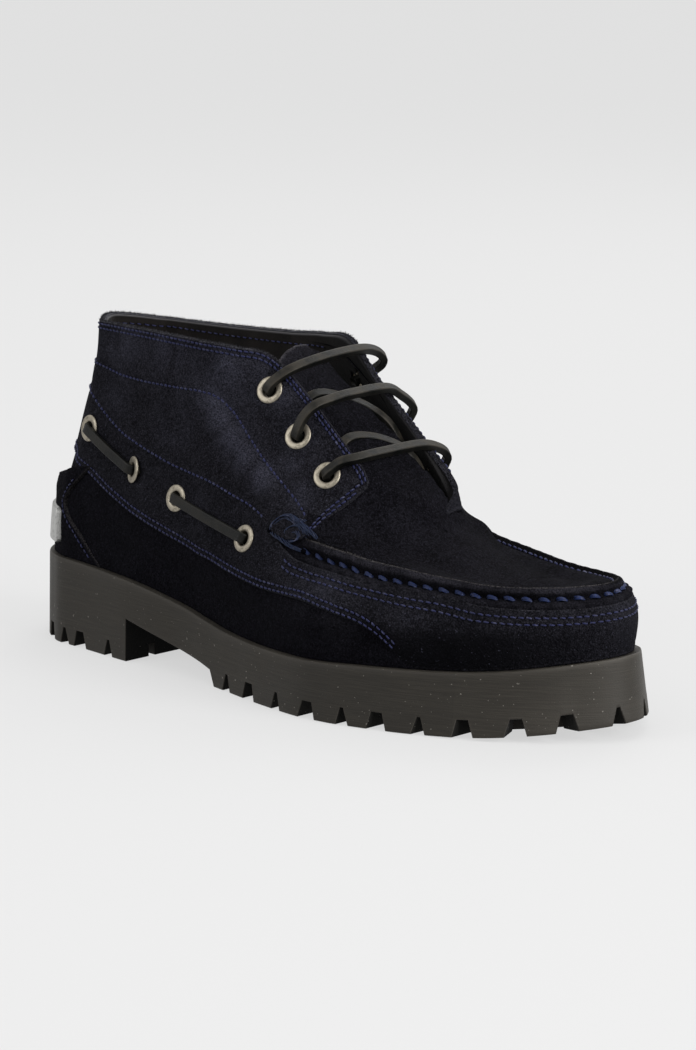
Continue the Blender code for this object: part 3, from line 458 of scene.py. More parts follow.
# --- Materials ------------------------------------------------------------------------------------
class Nodes:
    """A short way to write a material's node tree."""

    def __init__(self, name):
        self.material = bpy.data.materials.new(name)
        self.material.use_nodes = True
        self.tree = self.material.node_tree
        self.shader = self.tree.nodes["Principled BSDF"]

    def add(self, kind, **values):
        node = self.tree.nodes.new(kind)
        for key, value in values.items():
            setattr(node, key, value)
        return node

    def feed(self, socket, value):
        if isinstance(value, bpy.types.NodeSocket):
            self.tree.links.new(value, socket)
        elif isinstance(value, tuple) and len(value) == 3 and socket.type == "RGBA":
            socket.default_value = (*value, 1.0)
        else:
            socket.default_value = value

    def place(self, scale=(1.0, 1.0, 1.0)):
        coordinates = self.add("ShaderNodeTexCoord")
        mapping = self.add("ShaderNodeMapping")
        mapping.inputs["Scale"].default_value = scale
        self.tree.links.new(coordinates.outputs["Object"], mapping.inputs["Vector"])
        return mapping.outputs["Vector"]

    def noise(self, scale, detail, roughness, stretch=(1.0, 1.0, 1.0), distortion=0.0):
        node = self.add("ShaderNodeTexNoise")
        self.tree.links.new(self.place(stretch), node.inputs["Vector"])
        node.inputs["Scale"].default_value = scale
        node.inputs["Detail"].default_value = detail
        node.inputs["Roughness"].default_value = roughness
        node.inputs["Distortion"].default_value = distortion
        return node.outputs["Fac"]

    def cells(self, scale):
        node = self.add("ShaderNodeTexVoronoi", feature="F1")
        self.tree.links.new(self.place(), node.inputs["Vector"])
        node.inputs["Scale"].default_value = scale
        return node.outputs["Distance"]

    def attribute(self, name):
        return self.add("ShaderNodeAttribute", attribute_name=name).outputs["Fac"]

    def math(self, operation, first, second, clamp=False):
        node = self.add("ShaderNodeMath", operation=operation, use_clamp=clamp)
        self.feed(node.inputs[0], first)
        self.feed(node.inputs[1], second)
        return node.outputs[0]

    def between(self, value, low, high, to_low=0.0, to_high=1.0):
        node = self.add("ShaderNodeMapRange")
        for key, item in (("Value", value), ("From Min", low), ("From Max", high),
                          ("To Min", to_low), ("To Max", to_high)):
            self.feed(node.inputs[key], item)
        return node.outputs["Result"]

    def mix(self, share, first, second):
        node = self.add("ShaderNodeMix", data_type="RGBA")
        self.feed(node.inputs["Factor"], share)
        self.feed(node.inputs[6], first)
        self.feed(node.inputs[7], second)
        return node.outputs[2]

    def bump(self, height, distance, strength, normal=None):
        node = self.add("ShaderNodeBump")
        self.feed(node.inputs["Height"], height)
        node.inputs["Distance"].default_value = distance
        node.inputs["Strength"].default_value = strength
        if normal:
            self.tree.links.new(normal, node.inputs["Normal"])
        return node.outputs["Normal"]

    def finish(self, color, roughness, normal=None, **values):
        self.feed(self.shader.inputs["Base Color"], color)
        self.feed(self.shader.inputs["Roughness"], roughness)
        if normal:
            self.tree.links.new(normal, self.shader.inputs["Normal"])
        for key, value in values.items():
            socket = self.shader.inputs[key.replace("_", " ")]
            socket.default_value = (*value, 1.0) if isinstance(value, tuple) else value
        return self.material


def scaled(color, factor):
    """A lighter or darker tone of a colour."""
    return tuple(part * factor for part in color)


def suede(name, dark, light, rubbed, edge, sheen, sheen_tint):
    """Brushed suede: a nap that lies in patches, rubbed places and pale raw edges.

    The wear-and-shade mark is above 0 where the nap is rubbed pale, and below 0 where shade is
    painted in, darker.
    """
    make = Nodes(name)
    patches = make.noise(48.0, 4.0, 0.60, distortion=0.6)
    nap = make.noise(620.0, 3.0, 0.60, distortion=0.2)
    grain = make.noise(1750.0, 2.0, 0.65)
    wear_and_shade = make.attribute("wear_and_shade")
    color = make.mix(make.between(patches, 0.36, 0.66), dark, light)
    # Each layer: its pattern, where in it the layer starts and is full, its share, its tone
    # The last layer is painted shade: darker where the wear-and-shade mark is below 0
    for pattern, start, full, share, tone in ((nap, 0.50, 0.74, 0.7, scaled(light, 1.8)),
                                              (nap, 0.50, 0.30, 0.6, scaled(dark, 0.5)),
                                              (grain, 0.52, 0.70, 0.9, scaled(light, 2.6)),
                                              (grain, 0.48, 0.32, 0.9, scaled(dark, 0.3)),
                                              (wear_and_shade, 0.0, -1.0, 1.0, scaled(dark, 0.35))):
        color = make.mix(make.between(pattern, start, full, 0.0, share), color, tone)
    worn = make.math("MULTIPLY", wear_and_shade, make.between(grain, 0.34, 0.64, 0.2, 1.2), True)
    worn = make.math("MULTIPLY", worn, make.between(patches, 0.34, 0.60, 0.25, 1.0), True)
    color = make.mix(worn, color, rubbed)
    raw = make.math("MULTIPLY", make.attribute("edge"), make.between(grain, 0.35, 0.6), True)
    color = make.mix(raw, color, edge)
    specks = make.between(make.noise(1300.0, 1.0, 0.5), 0.70, 0.76)
    color = make.mix(make.math("MULTIPLY", specks, 0.45), color, rubbed)
    normal = make.bump(grain, 0.0006, 1.0, make.bump(nap, 0.0010, 0.9))
    return make.finish(color, 0.95, normal, Specular_IOR_Level=0.03, Sheen_Weight=sheen,
                       Sheen_Roughness=0.35, Sheen_Tint=sheen_tint)


def thread(name, color, shine):
    """Sewing thread: twisted plies, with pale glints painted on as highlights."""
    make = Nodes(name)
    plies = make.noise(1900.0, 2.0, 0.6)
    mixed = make.mix(make.between(plies, 0.35, 0.65), scaled(color, 0.3), color)
    # Painted highlights: pale glints spotted over the thread
    painted_glints = make.between(make.noise(620.0, 2.0, 0.6), 0.56, 0.72)
    mixed = make.mix(make.math("MULTIPLY", painted_glints, 0.65), mixed, (0.075, 0.078, 0.125))
    return make.finish(mixed, 0.6, make.bump(plies, 0.0002, 0.6), Specular_IOR_Level=0.30,
                       Sheen_Weight=shine, Sheen_Roughness=0.4)


def rubber():
    """Moulded rubber with a finely ground side and pale dust specks."""
    make = Nodes("boot_rubber")
    ground = make.noise(55.0, 4.0, 0.70, stretch=(1.0, 1.0, 38.0))
    cloud = make.noise(24.0, 3.0, 0.55)
    color = make.mix(make.between(cloud, 0.3, 0.7), (0.0178, 0.0157, 0.0128),
                     (0.0245, 0.0216, 0.0176))
    color = make.mix(make.between(ground, 0.42, 0.74, 0.0, 0.55), color, (0.045, 0.040, 0.032))
    # The edge mark: the rim's worn lip and the lugs' worn edges, and painted light on the toe's
    # wall
    lip = make.math("MULTIPLY", make.attribute("edge"), make.between(cloud, 0.3, 0.6, 0.35, 0.9),
                    True)
    color = make.mix(lip, color, (0.075, 0.068, 0.058))
    # Painted shade: near black where the mark is below 0, under the arch, on the breast, in notches
    color = make.mix(make.between(make.attribute("wear_and_shade"), 0.0, -1.0), color,
                     (0.0016, 0.0016, 0.0014))
    specks = make.between(make.noise(900.0, 1.0, 0.5), 0.745, 0.775)
    color = make.mix(make.math("MULTIPLY", specks, 0.5), color, (0.30, 0.28, 0.25))
    normal = make.bump(ground, 0.0003, 0.35, make.bump(make.noise(1800.0, 2.0, 0.6), 0.0002, 0.25))
    gloss = make.math("SUBTRACT", make.between(cloud, 0.3, 0.7, 0.50, 0.66),
                      make.math("MULTIPLY", make.attribute("wear_and_shade"), 0.45))
    return make.finish(color, gloss, normal, Specular_IOR_Level=0.22)


def lace_leather():
    """Waxed leather lace: smooth, with rubbed brown-grey corners."""
    make = Nodes("boot_lace")
    cloud = make.noise(140.0, 3.0, 0.6)
    grain = make.cells(1500.0)
    rub = make.math("MULTIPLY", make.attribute("edge"), make.between(cloud, 0.3, 0.6), True)
    color = make.mix(make.between(cloud, 0.38, 0.62), (0.0032, 0.0034, 0.0029),
                     (0.0200, 0.0175, 0.0134))
    color = make.mix(make.math("MULTIPLY", rub, 0.34), color, (0.050, 0.042, 0.031))
    # Painted shade: darker where the mark is below 0, on lace sides and undersides, and on side
    # laces
    color = make.mix(make.between(make.attribute("wear_and_shade"), 0.0, -1.0, 0.0, 0.72), color,
                     (0.0022, 0.0026, 0.0024))
    return make.finish(color, make.between(cloud, 0.3, 0.7, 0.36, 0.56),
                       make.bump(grain, 0.0002, 0.35), Specular_IOR_Level=0.17)


def eyelet_metal(name, color, dull):
    """Nickel-plated brass with a fine satin finish and darker spots."""
    make = Nodes(name)
    spots = make.noise(700.0, 3.0, 0.7)
    fine = make.noise(3200.0, 2.0, 0.6)
    mixed = make.mix(make.between(spots, 0.52, 0.72, 0.0, 0.75), color, dull)
    return make.finish(mixed, make.between(fine, 0.3, 0.7, 0.38, 0.56),
                       make.bump(fine, 0.00012, 0.4), Metallic=1.0)


def lining_cloth():
    """Dark brown-black lining leather."""
    make = Nodes("boot_lining")
    cloud = make.noise(90.0, 4.0, 0.6)
    grain = make.noise(1600.0, 3.0, 0.65)
    color = make.mix(make.between(cloud, 0.35, 0.7), (0.005, 0.0042, 0.0040),
                     (0.013, 0.0110, 0.0100))
    # Painted shade: near black where the mark is below 0
    color = make.mix(make.between(make.attribute("wear_and_shade"), 0.0, -1.0), color,
                     (0.0012, 0.0011, 0.0012))
    color = make.mix(make.math("MULTIPLY", make.attribute("edge"), 0.85), color,
                     (0.085, 0.083, 0.088))
    return make.finish(color, 0.9, make.bump(grain, 0.0003, 0.7), Specular_IOR_Level=0.12,
                       Sheen_Weight=0.04)


def hole_shade_material(name):
    """Painted shade for needle holes and the knot's holes: a flat near black."""
    return Nodes(name).finish((0.002, 0.002, 0.003), 1.0, Specular_IOR_Level=0.0)


NAVY = suede("suede_navy", (0.0056, 0.0055, 0.0072), (0.0112, 0.0110, 0.0142),
             (0.072, 0.073, 0.104), (0.085, 0.084, 0.092), 0.014, (0.50, 0.52, 0.75))
DARK = suede("suede_dark", (0.0022, 0.0021, 0.0031), (0.0044, 0.0042, 0.0060),
             (0.030, 0.029, 0.036), (0.105, 0.098, 0.098), 0.006, (0.50, 0.50, 0.70))
# The plug and tongue: the navy suede made much darker, painted shade for the light on the plug's
# top
SHADED_PLUG_SUEDE = suede("suede_plug_shaded", (0.0011, 0.0010, 0.0015), (0.0058, 0.0056, 0.0076),
             (0.024, 0.023, 0.029), (0.075, 0.072, 0.080), 0.002, (0.60, 0.60, 0.75))
THREAD = thread("thread_blue", (0.009, 0.013, 0.070), 0.03)
MOC_THREAD = thread("thread_moc", (0.004, 0.015, 0.075), 0.02)
KNOT_THREAD = thread("thread_knot", (0.004, 0.013, 0.048), 0.0)
RUBBER = rubber()
LACE = lace_leather()
METAL = eyelet_metal("eyelet_metal", (0.31, 0.28, 0.225), (0.10, 0.088, 0.065))
PLATE = eyelet_metal("plate_metal", (0.42, 0.42, 0.41), (0.16, 0.155, 0.15))
LINING = lining_cloth()
HOLE_SHADE = hole_shade_material("needle_hole_shade")


# --- Meshes ---------------------------------------------------------------------------------------
def settle(thing, replaced):
    """Joins a piece to the boot's one body and hides the CAD parts that it stands in for."""
    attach(thing, "root")
    if replaced:
        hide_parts(*replaced)
    return thing


def new_mesh(name, vertices, faces, material, marks=None, replaced=(), weld=0.0):
    """A smooth mesh piece. marks are values per vertex that its material reads."""
    mesh = bpy.data.meshes.new(name)
    mesh.from_pydata(np.asarray(vertices).tolist(), [], [tuple(map(int, face)) for face in faces])
    for key, values in (marks or {}).items():
        layer = mesh.attributes.new(key, "FLOAT", "POINT")
        layer.data.foreach_set("value", np.ascontiguousarray(values, np.float32))
    if weld:
        work = bmesh.new()
        work.from_mesh(mesh)
        bmesh.ops.remove_doubles(work, verts=work.verts, dist=weld)
        bmesh.ops.dissolve_degenerate(work, edges=work.edges, dist=weld)
        work.to_mesh(mesh)
        work.free()
    mesh.materials.append(material)
    mesh.shade_smooth()
    thing = bpy.data.objects.new(name, mesh)
    bpy.context.scene.collection.objects.link(thing)
    return settle(thing, replaced)


def two_marks(edge, wear_and_shade):
    """The marks that the suede and the rubber read, as flat lists; below 0 the wear mark is painted
    shade.
    """
    return {"edge": edge.ravel(), "wear_and_shade": wear_and_shade.ravel()}


class Bundle:
    """Collects meshes into one piece."""

    def __init__(self):
        self.vertices, self.faces, self.count = [], [], 0

    def add(self, vertices, faces):
        self.faces += [tuple(int(i) + self.count for i in face) for face in faces]
        self.vertices.append(vertices)
        self.count += len(vertices)

    def piece(self, name, material, slot="suede", marks=None, replaced=()):
        return new_mesh(name, np.concatenate(self.vertices), self.faces, material, marks,
                        replaced)


def grid_faces(columns, rows, closed=False, flip=False):
    """Quads of a grid whose vertices run column by column."""
    i = np.arange(columns if closed else columns - 1)
    j = np.arange(rows - 1)
    a, b = (part.ravel() for part in np.meshgrid(i, j, indexing="ij"))
    after = (a + 1) % columns
    quads = np.stack([a * rows + b, after * rows + b, after * rows + b + 1, a * rows + b + 1], 1)
    return quads[:, ::-1] if flip else quads


# Eyelets: station and level, as on the CAD part
THROAT_EYELETS = ((7.12, 0.904), (7.88, 0.846), (8.53, 0.815))
THROAT_INNER = ((24.70, 0.904), (23.90, 0.846), (23.15, 0.815))
SIDE_EYELETS = ((2.92, 0.554), (3.92, 0.474), (4.79, 0.443), (7.33, 0.448))
# The leather's holes under the eyelets, in millimetres
HOLE_RADIUS = 3.9
SIDE_INNER = tuple((ROUND - at, level) for at, level in SIDE_EYELETS)
EYELET_PLACES = (("throat", "lateral", THROAT_EYELETS), ("throat", "medial", THROAT_INNER),
                 ("side", "lateral", SIDE_EYELETS), ("side", "medial", SIDE_INNER))
HOLE_SPOTS = [surface(at, level) for _, _, table in EYELET_PLACES for at, level in table]


def without_holes(vertices, faces):
    """Leaves out the faces inside the eyelets."""
    flat = vertices.reshape(-1, 3)
    centre = flat[faces].mean(1)
    keep = np.ones(len(faces), bool)
    for spot in HOLE_SPOTS:
        keep &= np.linalg.norm(centre - spot, axis=1) > HOLE_RADIUS * MM
    return faces[keep]


# Distances of a panel's rows from its cut edge, then the edge's rounding, and how far down the
# cut wall runs (millimetres)
EDGE_STEPS = np.array((0.0, 0.08, 0.22, 0.45, 0.8, 1.1, 1.4, 1.8, 2.3, 2.8, 3.2, 3.7, 4.4, 5.4))
EDGE_ROUND = 0.55
EDGE_DROP = 0.42
SINK = 1.1


def rounded(distance, thickness):
    """Height over a leather's softly rounded cut edge."""
    share = 1.0 - np.clip(distance / EDGE_ROUND, 0.0, 1.0)
    return thickness - EDGE_DROP * (1.0 - np.sqrt(np.clip(1.0 - share ** 2, 0.0, 1.0)))


def path_at(table, share):
    """Even (station, level) places along a drawn edge."""
    table = np.array(table, float)
    stations_per_level = 8.0
    step = np.hypot(np.diff(table[:, 0]), np.diff(table[:, 1]) * stations_per_level)
    length = np.concatenate([[0.0], np.cumsum(step)])
    share = np.asarray(share) * length[-1]
    return np.stack([np.interp(share, length, table[:, i]) for i in range(2)], -1)


class Panel:
    """A leather panel between a lower and an upper edge, lying on the boot's surface.

    lower and upper are (station, level) rows, one for each column. base is the height of its
    underside above the surface at the lower edge, top_base at the upper edge, and thickness its
    leather's. middle is how many rows lie between those beside the two edges. cut_ends says
    whether the first and the last column are cut edges too. troughs are (distance from the edge,
    depth) of stitched lines. side is -1 for a panel that faces the inside of the boot.
    """

    def __init__(self, lower, upper, base, thickness, middle, cut_ends=(False, False),
                 troughs=(), side=1.0, top_base=None):
        self.lower, self.upper = np.array(lower, float), np.array(upper, float)
        self.base = np.broadcast_to(np.asarray(base, float), (len(self.lower),))
        if top_base is None:
            top_base = self.base
        self.top_base = np.broadcast_to(top_base, self.base.shape)
        self.thickness, self.side = thickness, side
        samples = np.stack([surface(*(self.lower + (self.upper - self.lower) * share).T)
                            for share in np.linspace(0, 1, 9)], 1)
        self.width = np.linalg.norm(np.diff(samples, axis=1), axis=2).sum(1) / MM
        low = EDGE_STEPS[None] * np.minimum(1.0, self.width / (2.2 * EDGE_STEPS[-1]))[:, None]
        high = self.width[:, None] - low[:, ::-1]
        inner = (low[:, -1:] + (high[:, :1] - low[:, -1:])
                 * np.linspace(0, 1, middle + 2)[None, 1:-1])
        distance = np.concatenate([low[:, :1], low, inner, high, high[:, -1:]], 1)
        share = distance / self.width[:, None]
        places = self.lower[:, None] + (self.upper - self.lower)[:, None] * share[..., None]
        self.at, self.level = places[..., 0], places[..., 1]
        plain = surface(self.at, self.level)
        edge = np.minimum(distance, self.width[:, None] - distance)
        wall = np.zeros(distance.shape, bool)
        wall[:, [0, -1]] = True
        run = measured(plain[:, plain.shape[1] // 2])[:, None] / MM
        for cut, column, from_end in zip(cut_ends, (0, -1), (run, run[-1] - run)):
            if cut:
                edge = np.minimum(edge, from_end)
                wall[column] = True
        height = rounded(edge, thickness)
        for where, depth in troughs:
            height = height - depth * bell(edge - where, 0.6)
        height = np.where(wall, -SINK, height)
        rise = self.base_at(share)
        self.points = surface(self.at, self.level, side * (rise + height + relief(plain) * side))
        self.edge = np.clip(1.0 - edge / 0.8, 0.0, 1.0)
        self.from_edge = edge
        self.wear_and_shade = scuffed(plain)

    def base_at(self, share):
        """Height of the underside at a share of the way from the lower edge to the upper."""
        share = np.clip(share, 0.0, 1.0)
        base, top_base = self.base, self.top_base
        if share.ndim == 2:
            base, top_base = base[:, None], top_base[:, None]
        return base + (top_base - base) * share

    def piece(self, name, material, slot="suede", closed=False, holes=False, flip=False,
              replaced=()):
        faces = grid_faces(*self.points.shape[:2], closed, flip or self.side < 0)
        if holes:
            faces = without_holes(self.points, faces)
        return new_mesh(name, self.points.reshape(-1, 3), faces, material,
                        two_marks(self.edge, self.wear_and_shade), replaced)

    def row(self, distance, start=0.0, end=1.0):
        """The leather's surface along a line beside the upper edge: points and outward normals."""
        share = 1.0 - distance / self.width
        places = self.lower + (self.upper - self.lower) * share[:, None]
        pick = slice(int(start * (len(places) - 1)), int(end * (len(places) - 1)) + 1)
        at, level = places[pick, 0], places[pick, 1]
        return lift_line(at, level, self.base_at(share)[pick] + self.thickness)


def lift_line(at, level, height):
    """Points and normals of a line on leather of a height above the surface."""
    raised = height + relief(surface(at, level))
    return surface(at, level, raised), upper_normal(at, np.minimum(level, NEAR_TOP))


# --- The upper's under layer: quarters, foxing, and the moc seam's puffed band and lip ------------
DICE = np.random.default_rng(11)
# Millimetres between the hand-sewn stitches
STITCH_PITCH = 6.5
# Height of the under layer above the boot's surface
UNDER = -0.8
# Height of the heel counter's underside
COUNTER_BASE = UNDER + 0.2
# A direction that no fibre lies along
ASKEW = np.array([0.37, 0.61, 0.70])
# How many loose fibres stand on the lip's and the collar's raw edges
LIP_FIBRES = 2600
COLLAR_FIBRES = 5200
# How much lower the lip is on the inner side: station, millimetres
FAR_LIP_DROP = [(14.6, 0.0), (16.0, 1.0), (17.0, 1.9), (18.0, 2.5), (19.0, 2.4), (20.0, 2.1),
                (21.0, 1.4), (22.0, 0.3), (23.2, 0.0)]


def make_under():
    """The layer under the band and the facing, with the hand-sewn seam's groove, puff and lip.

    Returns the seam's line with the distance along it, and the line of the lip's machine stitches.
    """
    columns, rows = 720, 84
    at = np.arange(columns) * ROUND / columns
    away = from_heel(at)
    front = smooth_step(away, 8.05, 8.6)[:, None]
    shaped = smooth_step(away, 8.35, 8.95)[:, None]
    seam = smooth_table(MOC_SEAM, at)[:, None]
    lip = smooth_table(LIP_EDGE, at)[:, None]
    share = np.linspace(0, 1, rows)[None]
    # In front, three rows in ten cover the wall and the rest the seam and its lip
    fine = np.where(share < 0.3, share / 0.3 * (seam - 0.12),
                    seam - 0.12 + (share - 0.3) / 0.7 * (lip - seam + 0.12))
    level = 0.97 * share * (1 - front) + fine * front
    stations = np.broadcast_to(at[:, None], level.shape)
    plain = surface(stations, level)
    run = measured(plain, 1) / MM
    seam_run = np.array([np.interp(seam[i, 0], level[i], run[i]) for i in range(columns)])[:, None]
    beyond = run - seam_run
    over = np.clip(beyond / np.maximum(run[:, -1:] - seam_run, 1.0), 0.0, 1.0)
    seam_line = surface(at, seam[:, 0])
    along = measured(seam_line) / MM
    beat = np.cos(2 * np.pi * (along - along[columns // 2]) / STITCH_PITCH)[:, None]
    puff = (1.25 - 0.50 * beat) * bell(beyond + 3.0, 1.8)
    groove = -(1.25 + 0.35 * beat) * bell(beyond, 0.9)
    arch = 1 - np.abs(2 * over - 1) ** 3
    crest = smooth_step(over, 0.04, 0.32) * (0.9 + (1.35 - 0.42 * beat * (1 - over)) * arch)
    sunk = np.interp(at, *zip(*FAR_LIP_DROP))[:, None]
    crest = crest - sunk * smooth_step(over, 0.05, 0.35)
    foot = 1.15 * smooth_step(level, 0.13, 0.03)
    height = UNDER + foot + shaped * (puff + groove + crest)
    # The last row is the foot of the lip's inner wall
    height[:, -1] -= 1.6 + 3.4 * smooth_step(away, 9.8, 11.0)
    points = surface(stations, level, height + relief(plain) * (1 - 0.6 * shaped * (beyond > -6.0)))
    fading = 0.35 + 0.65 * smooth_step(-away, -12.0, -10.5)
    raw = shaped * bell(over - 0.88, 0.09) * fading[:, None]
    wear_and_shade = np.maximum(scuffed(plain), shaped * 0.60 * bell(over - 0.55, 0.3) * (beyond > 0))
    wear_and_shade = np.maximum(wear_and_shade, 0.3 * shaped * bell(beyond + 3.0, 1.6))
    # Painted shade on the inner side: the lip's top goes near black and its pale raw edge dims
    far = (smooth_step(at, 15.8, 16.6) * smooth_step(-at, -23.6, -23.0))[:, None]
    wear_and_shade = wear_and_shade + (-1.0 - wear_and_shade) * far * smooth_step(over, 0.45, 0.7)
    raw = raw * (1.0 - 0.9 * far)
    faces = without_holes(points, grid_faces(columns, rows, closed=True))
    new_mesh("upper_under", points.reshape(-1, 3), faces, DARK, two_marks(raw, wear_and_shade),
             ["upper"])
    # The lip's raw edge runs along its fourth row from the end
    pick = away > 8.45
    start = int(np.argmax(pick))
    order = np.arange(start, start + pick.sum())
    raw_edge(points[order, -4], upper_normal(at[order], lip[order, 0]),
             fading[order] * (1.0 - 0.8 * far[order, 0]))
    # On the inner side, the lip's wall is machine-stitched
    order = np.nonzero((at > 16.4) & (at < 21.9))[0]
    line = points[order, -2] * 0.68 + points[order, -1] * 0.32
    inward = unit(np.cross(UP, np.gradient(line, axis=0)))
    return seam_line, along, (line, inward * 0.92 + UP * 0.4)


def raw_edge(line, normals, amount):
    """The pale cut edge of the lip: a thin uneven rib and its loose fibres."""
    wobble = evened(DICE.normal(0.0, 1.0, len(line)), 2)
    centres = line + normals * ((0.10 + 0.12 * wobble) * MM)[:, None]
    radii = (0.05 + 0.10 * amount * np.clip(1.0 + 1.2 * wobble, 0.3, 1.5)) * MM
    bundle = Bundle()
    bundle.add(*tubes(centres[None], normals[None], radii[None], 6))
    run = measured(line)
    count = LIP_FIBRES
    where = DICE.uniform(0.0, run[-1], count)
    root, up = at_run(run, line, where), normals_at(run, normals, where)
    strong = np.interp(where, run, amount)[:, None]
    grow = unit(up * 0.5 + DICE.normal(0.0, 0.7, (count, 3)))
    length = DICE.uniform(0.2, 0.75, (count, 1)) * strong * MM
    hairs = np.stack([root, root + grow * length * 0.5, root + (grow + up * 0.2) * length], 1)
    bundle.add(*fibres(hairs, np.cross(grow, ASKEW), (0.07, 0.06, 0.03)))
    marks = np.full(bundle.count, 0.9)
    bundle.piece("lip_raw_edge", DARK, marks=two_marks(marks, marks * 0))


def fibres(centres, normals, radii):
    """Three-sided hairs of three rings, with one normal for each and the rings' radii."""
    radii = np.array([radii]) * MM * np.ones((len(centres), 1))
    return tubes(centres, np.repeat(normals[:, None], 3, 1), radii, 3)


# --- Toe plug and tongue, one sheet ---------------------------------------------------------------
# The sheet's free edge beside the inner eyestay, as x and y in millimetres
TONGUE_SIDE = ((93.0, 3.0), (94.0, 4.6), (95.3, 5.9), (97.0, 6.8), (99.0, 7.0), (103.0, 5.9),
               (110.0, 4.9), (114.5, 5.6), (119.0, 6.2), (129.0, 6.2), (134.0, 8.6), (139.5, 8.6),
               (148.0, 9.0), (157.0, 12.0), (163.0, 15.5), (167.0, 17.6), (171.0, 24.0),
               (176.0, 60.0))
# Its top edge, as y and x, and the height of its middle, as x and z
TONGUE_EDGE = ((-24.0, 101.5), (-20.1, 99.4), (-14.5, 96.8), (-8.3, 95.1), (-2.1, 94.4),
               (3.0, 94.6), (8.0, 96.0))
TONGUE_HEIGHT = ((85.0, 133.6), (92.0, 128.2), (100.0, 122.8), (111.0, 114.8), (122.0, 106.6),
                 (134.0, 97.3), (146.0, 87.5), (153.0, 82.0), (159.0, 77.0), (168.0, 69.0))
# The station of its top edge
TONGUE_TOP = 6.55
# Depth below the surface, by station, on the outer and the inner side
TONGUE_DEPTHS = ((6.3, 4.2, 6.0), (8.0, 3.9, 6.0), (8.6, 3.2, 5.8), (9.2, 2.2, 5.2),
                 (10.0, 1.0, 3.6), (10.8, 0.7, 1.6), (11.3, 0.7, 0.7), (16.0, 0.7, 0.7))
LEAST_DEPTH = 0.7
TONGUE_THICKNESS = 1.7


def sheet_columns(at):
    """The plug and tongue's section at a station: points from the outer side to the inner."""
    side_rows, bridge_rows = 44, 22
    stations, outer_depths, inner_depths = zip(*TONGUE_DEPTHS)
    lip = smooth_table(LIP_EDGE, at) - 0.006
    start = lip + (0.80 - lip) * smooth_step(-at, -8.62, -8.25)
    end = 0.955 + 0.045 * smooth_step(at, 8.8, 10.0)
    levels = start + (end - start) * np.linspace(0, 1, side_rows)
    upright = smooth_step(at, 9.4, 10.6)
    # How many millimetres the plug lies below the surface in its middle, and along the lip
    middle_drop = 8.2 * smooth_step(at, 9.1, 12.6)
    edge_drop = 3.6 * smooth_step(at, 10.2, 11.4)

    def side(stations, levels, depth):
        normal = upper_normal(stations, np.minimum(levels, NEAR_TOP))
        normal = unit(normal * (1 - upright) + UP * upright)
        deep = LEAST_DEPTH + (depth - LEAST_DEPTH) * smooth_step(levels, 0.60, 0.85)
        drop = edge_drop
        if stations[0] > TIP:
            ahead = tab_front(levels) - at
            deep = LEAST_DEPTH + (deep - LEAST_DEPTH) * smooth_step(ahead, -0.1, 0.9)
            drop = drop + (2.0 * smooth_step(stations, 16.1, 17.4)
                           * smooth_step(-stations, -21.8, -20.6))
        share = (levels - levels.min()) / (levels.max() - levels.min())
        deep = deep + drop + np.maximum(middle_drop - drop, 0.0) * smooth_step(share, 0.05, 0.6)
        return surface(stations, levels) - normal * deep[:, None] * MM

    outer = side(np.full(side_rows, at), levels, np.interp(at, stations, outer_depths))
    inner = side(np.full(side_rows, ROUND - at), levels, np.interp(at, stations, inner_depths))
    inner = inner[::-1]
    share = np.linspace(0, 1, bridge_rows + 2)[1:-1, None]
    bridge = outer[-1] + (inner[0] - outer[-1]) * share
    if at < 11.2:
        middle = (outer[-1] + inner[0]) / 2
        crown = np.interp(middle[0] / MM, *zip(*TONGUE_HEIGHT)) * MM - middle[2]
        crown *= smooth_step(-at, -11.0, -10.0)
        bridge[:, 2] += np.sin(np.pi * share[:, 0]) ** 0.7 * crown
    points = np.concatenate([outer, bridge, inner])
    if at < 12.0:
        levels = np.concatenate([np.ones(side_rows + bridge_rows), levels[::-1]])
        points = folded(points, side_rows, levels, at)
    return points


def tab_front(level):
    """The station of the inner tab's front edge."""
    return 8.6 + 6.515 * (level - 0.6)


def folded(points, first, levels, at):
    """Folds a section down beyond the tongue's inner side, where it runs on under the eyestay."""
    x, y = zip(*TONGUE_SIDE)
    limit = np.interp(points[:, 0] / MM, x, y) * MM
    over = np.nonzero((points[:, 1] > limit) & (np.arange(len(points)) >= first))[0]
    if len(over):
        i = over[0]
        gap_in, gap_out = limit[i - 1] - points[i - 1, 1], points[i, 1] - limit[i]
        share = gap_in / max(gap_in + gap_out, TINY)
        edge = points[i - 1] + (points[i] - points[i - 1]) * share
        rest = points[i:].copy()
        beyond = np.linalg.norm((rest - edge)[:, :2], axis=1) / MM
        covered = (smooth_step(tab_front(levels[i:]) - at, -0.1, 0.8)
                   * smooth_step(levels[i:], 0.62, 0.76))
        rest[:, 2] -= 10.0 * covered * smooth_step(beyond, 0.0, 2.4) * MM
        points[i:] = edge + (rest - edge) * smooth_step(at, 8.0, 9.0)
    return points


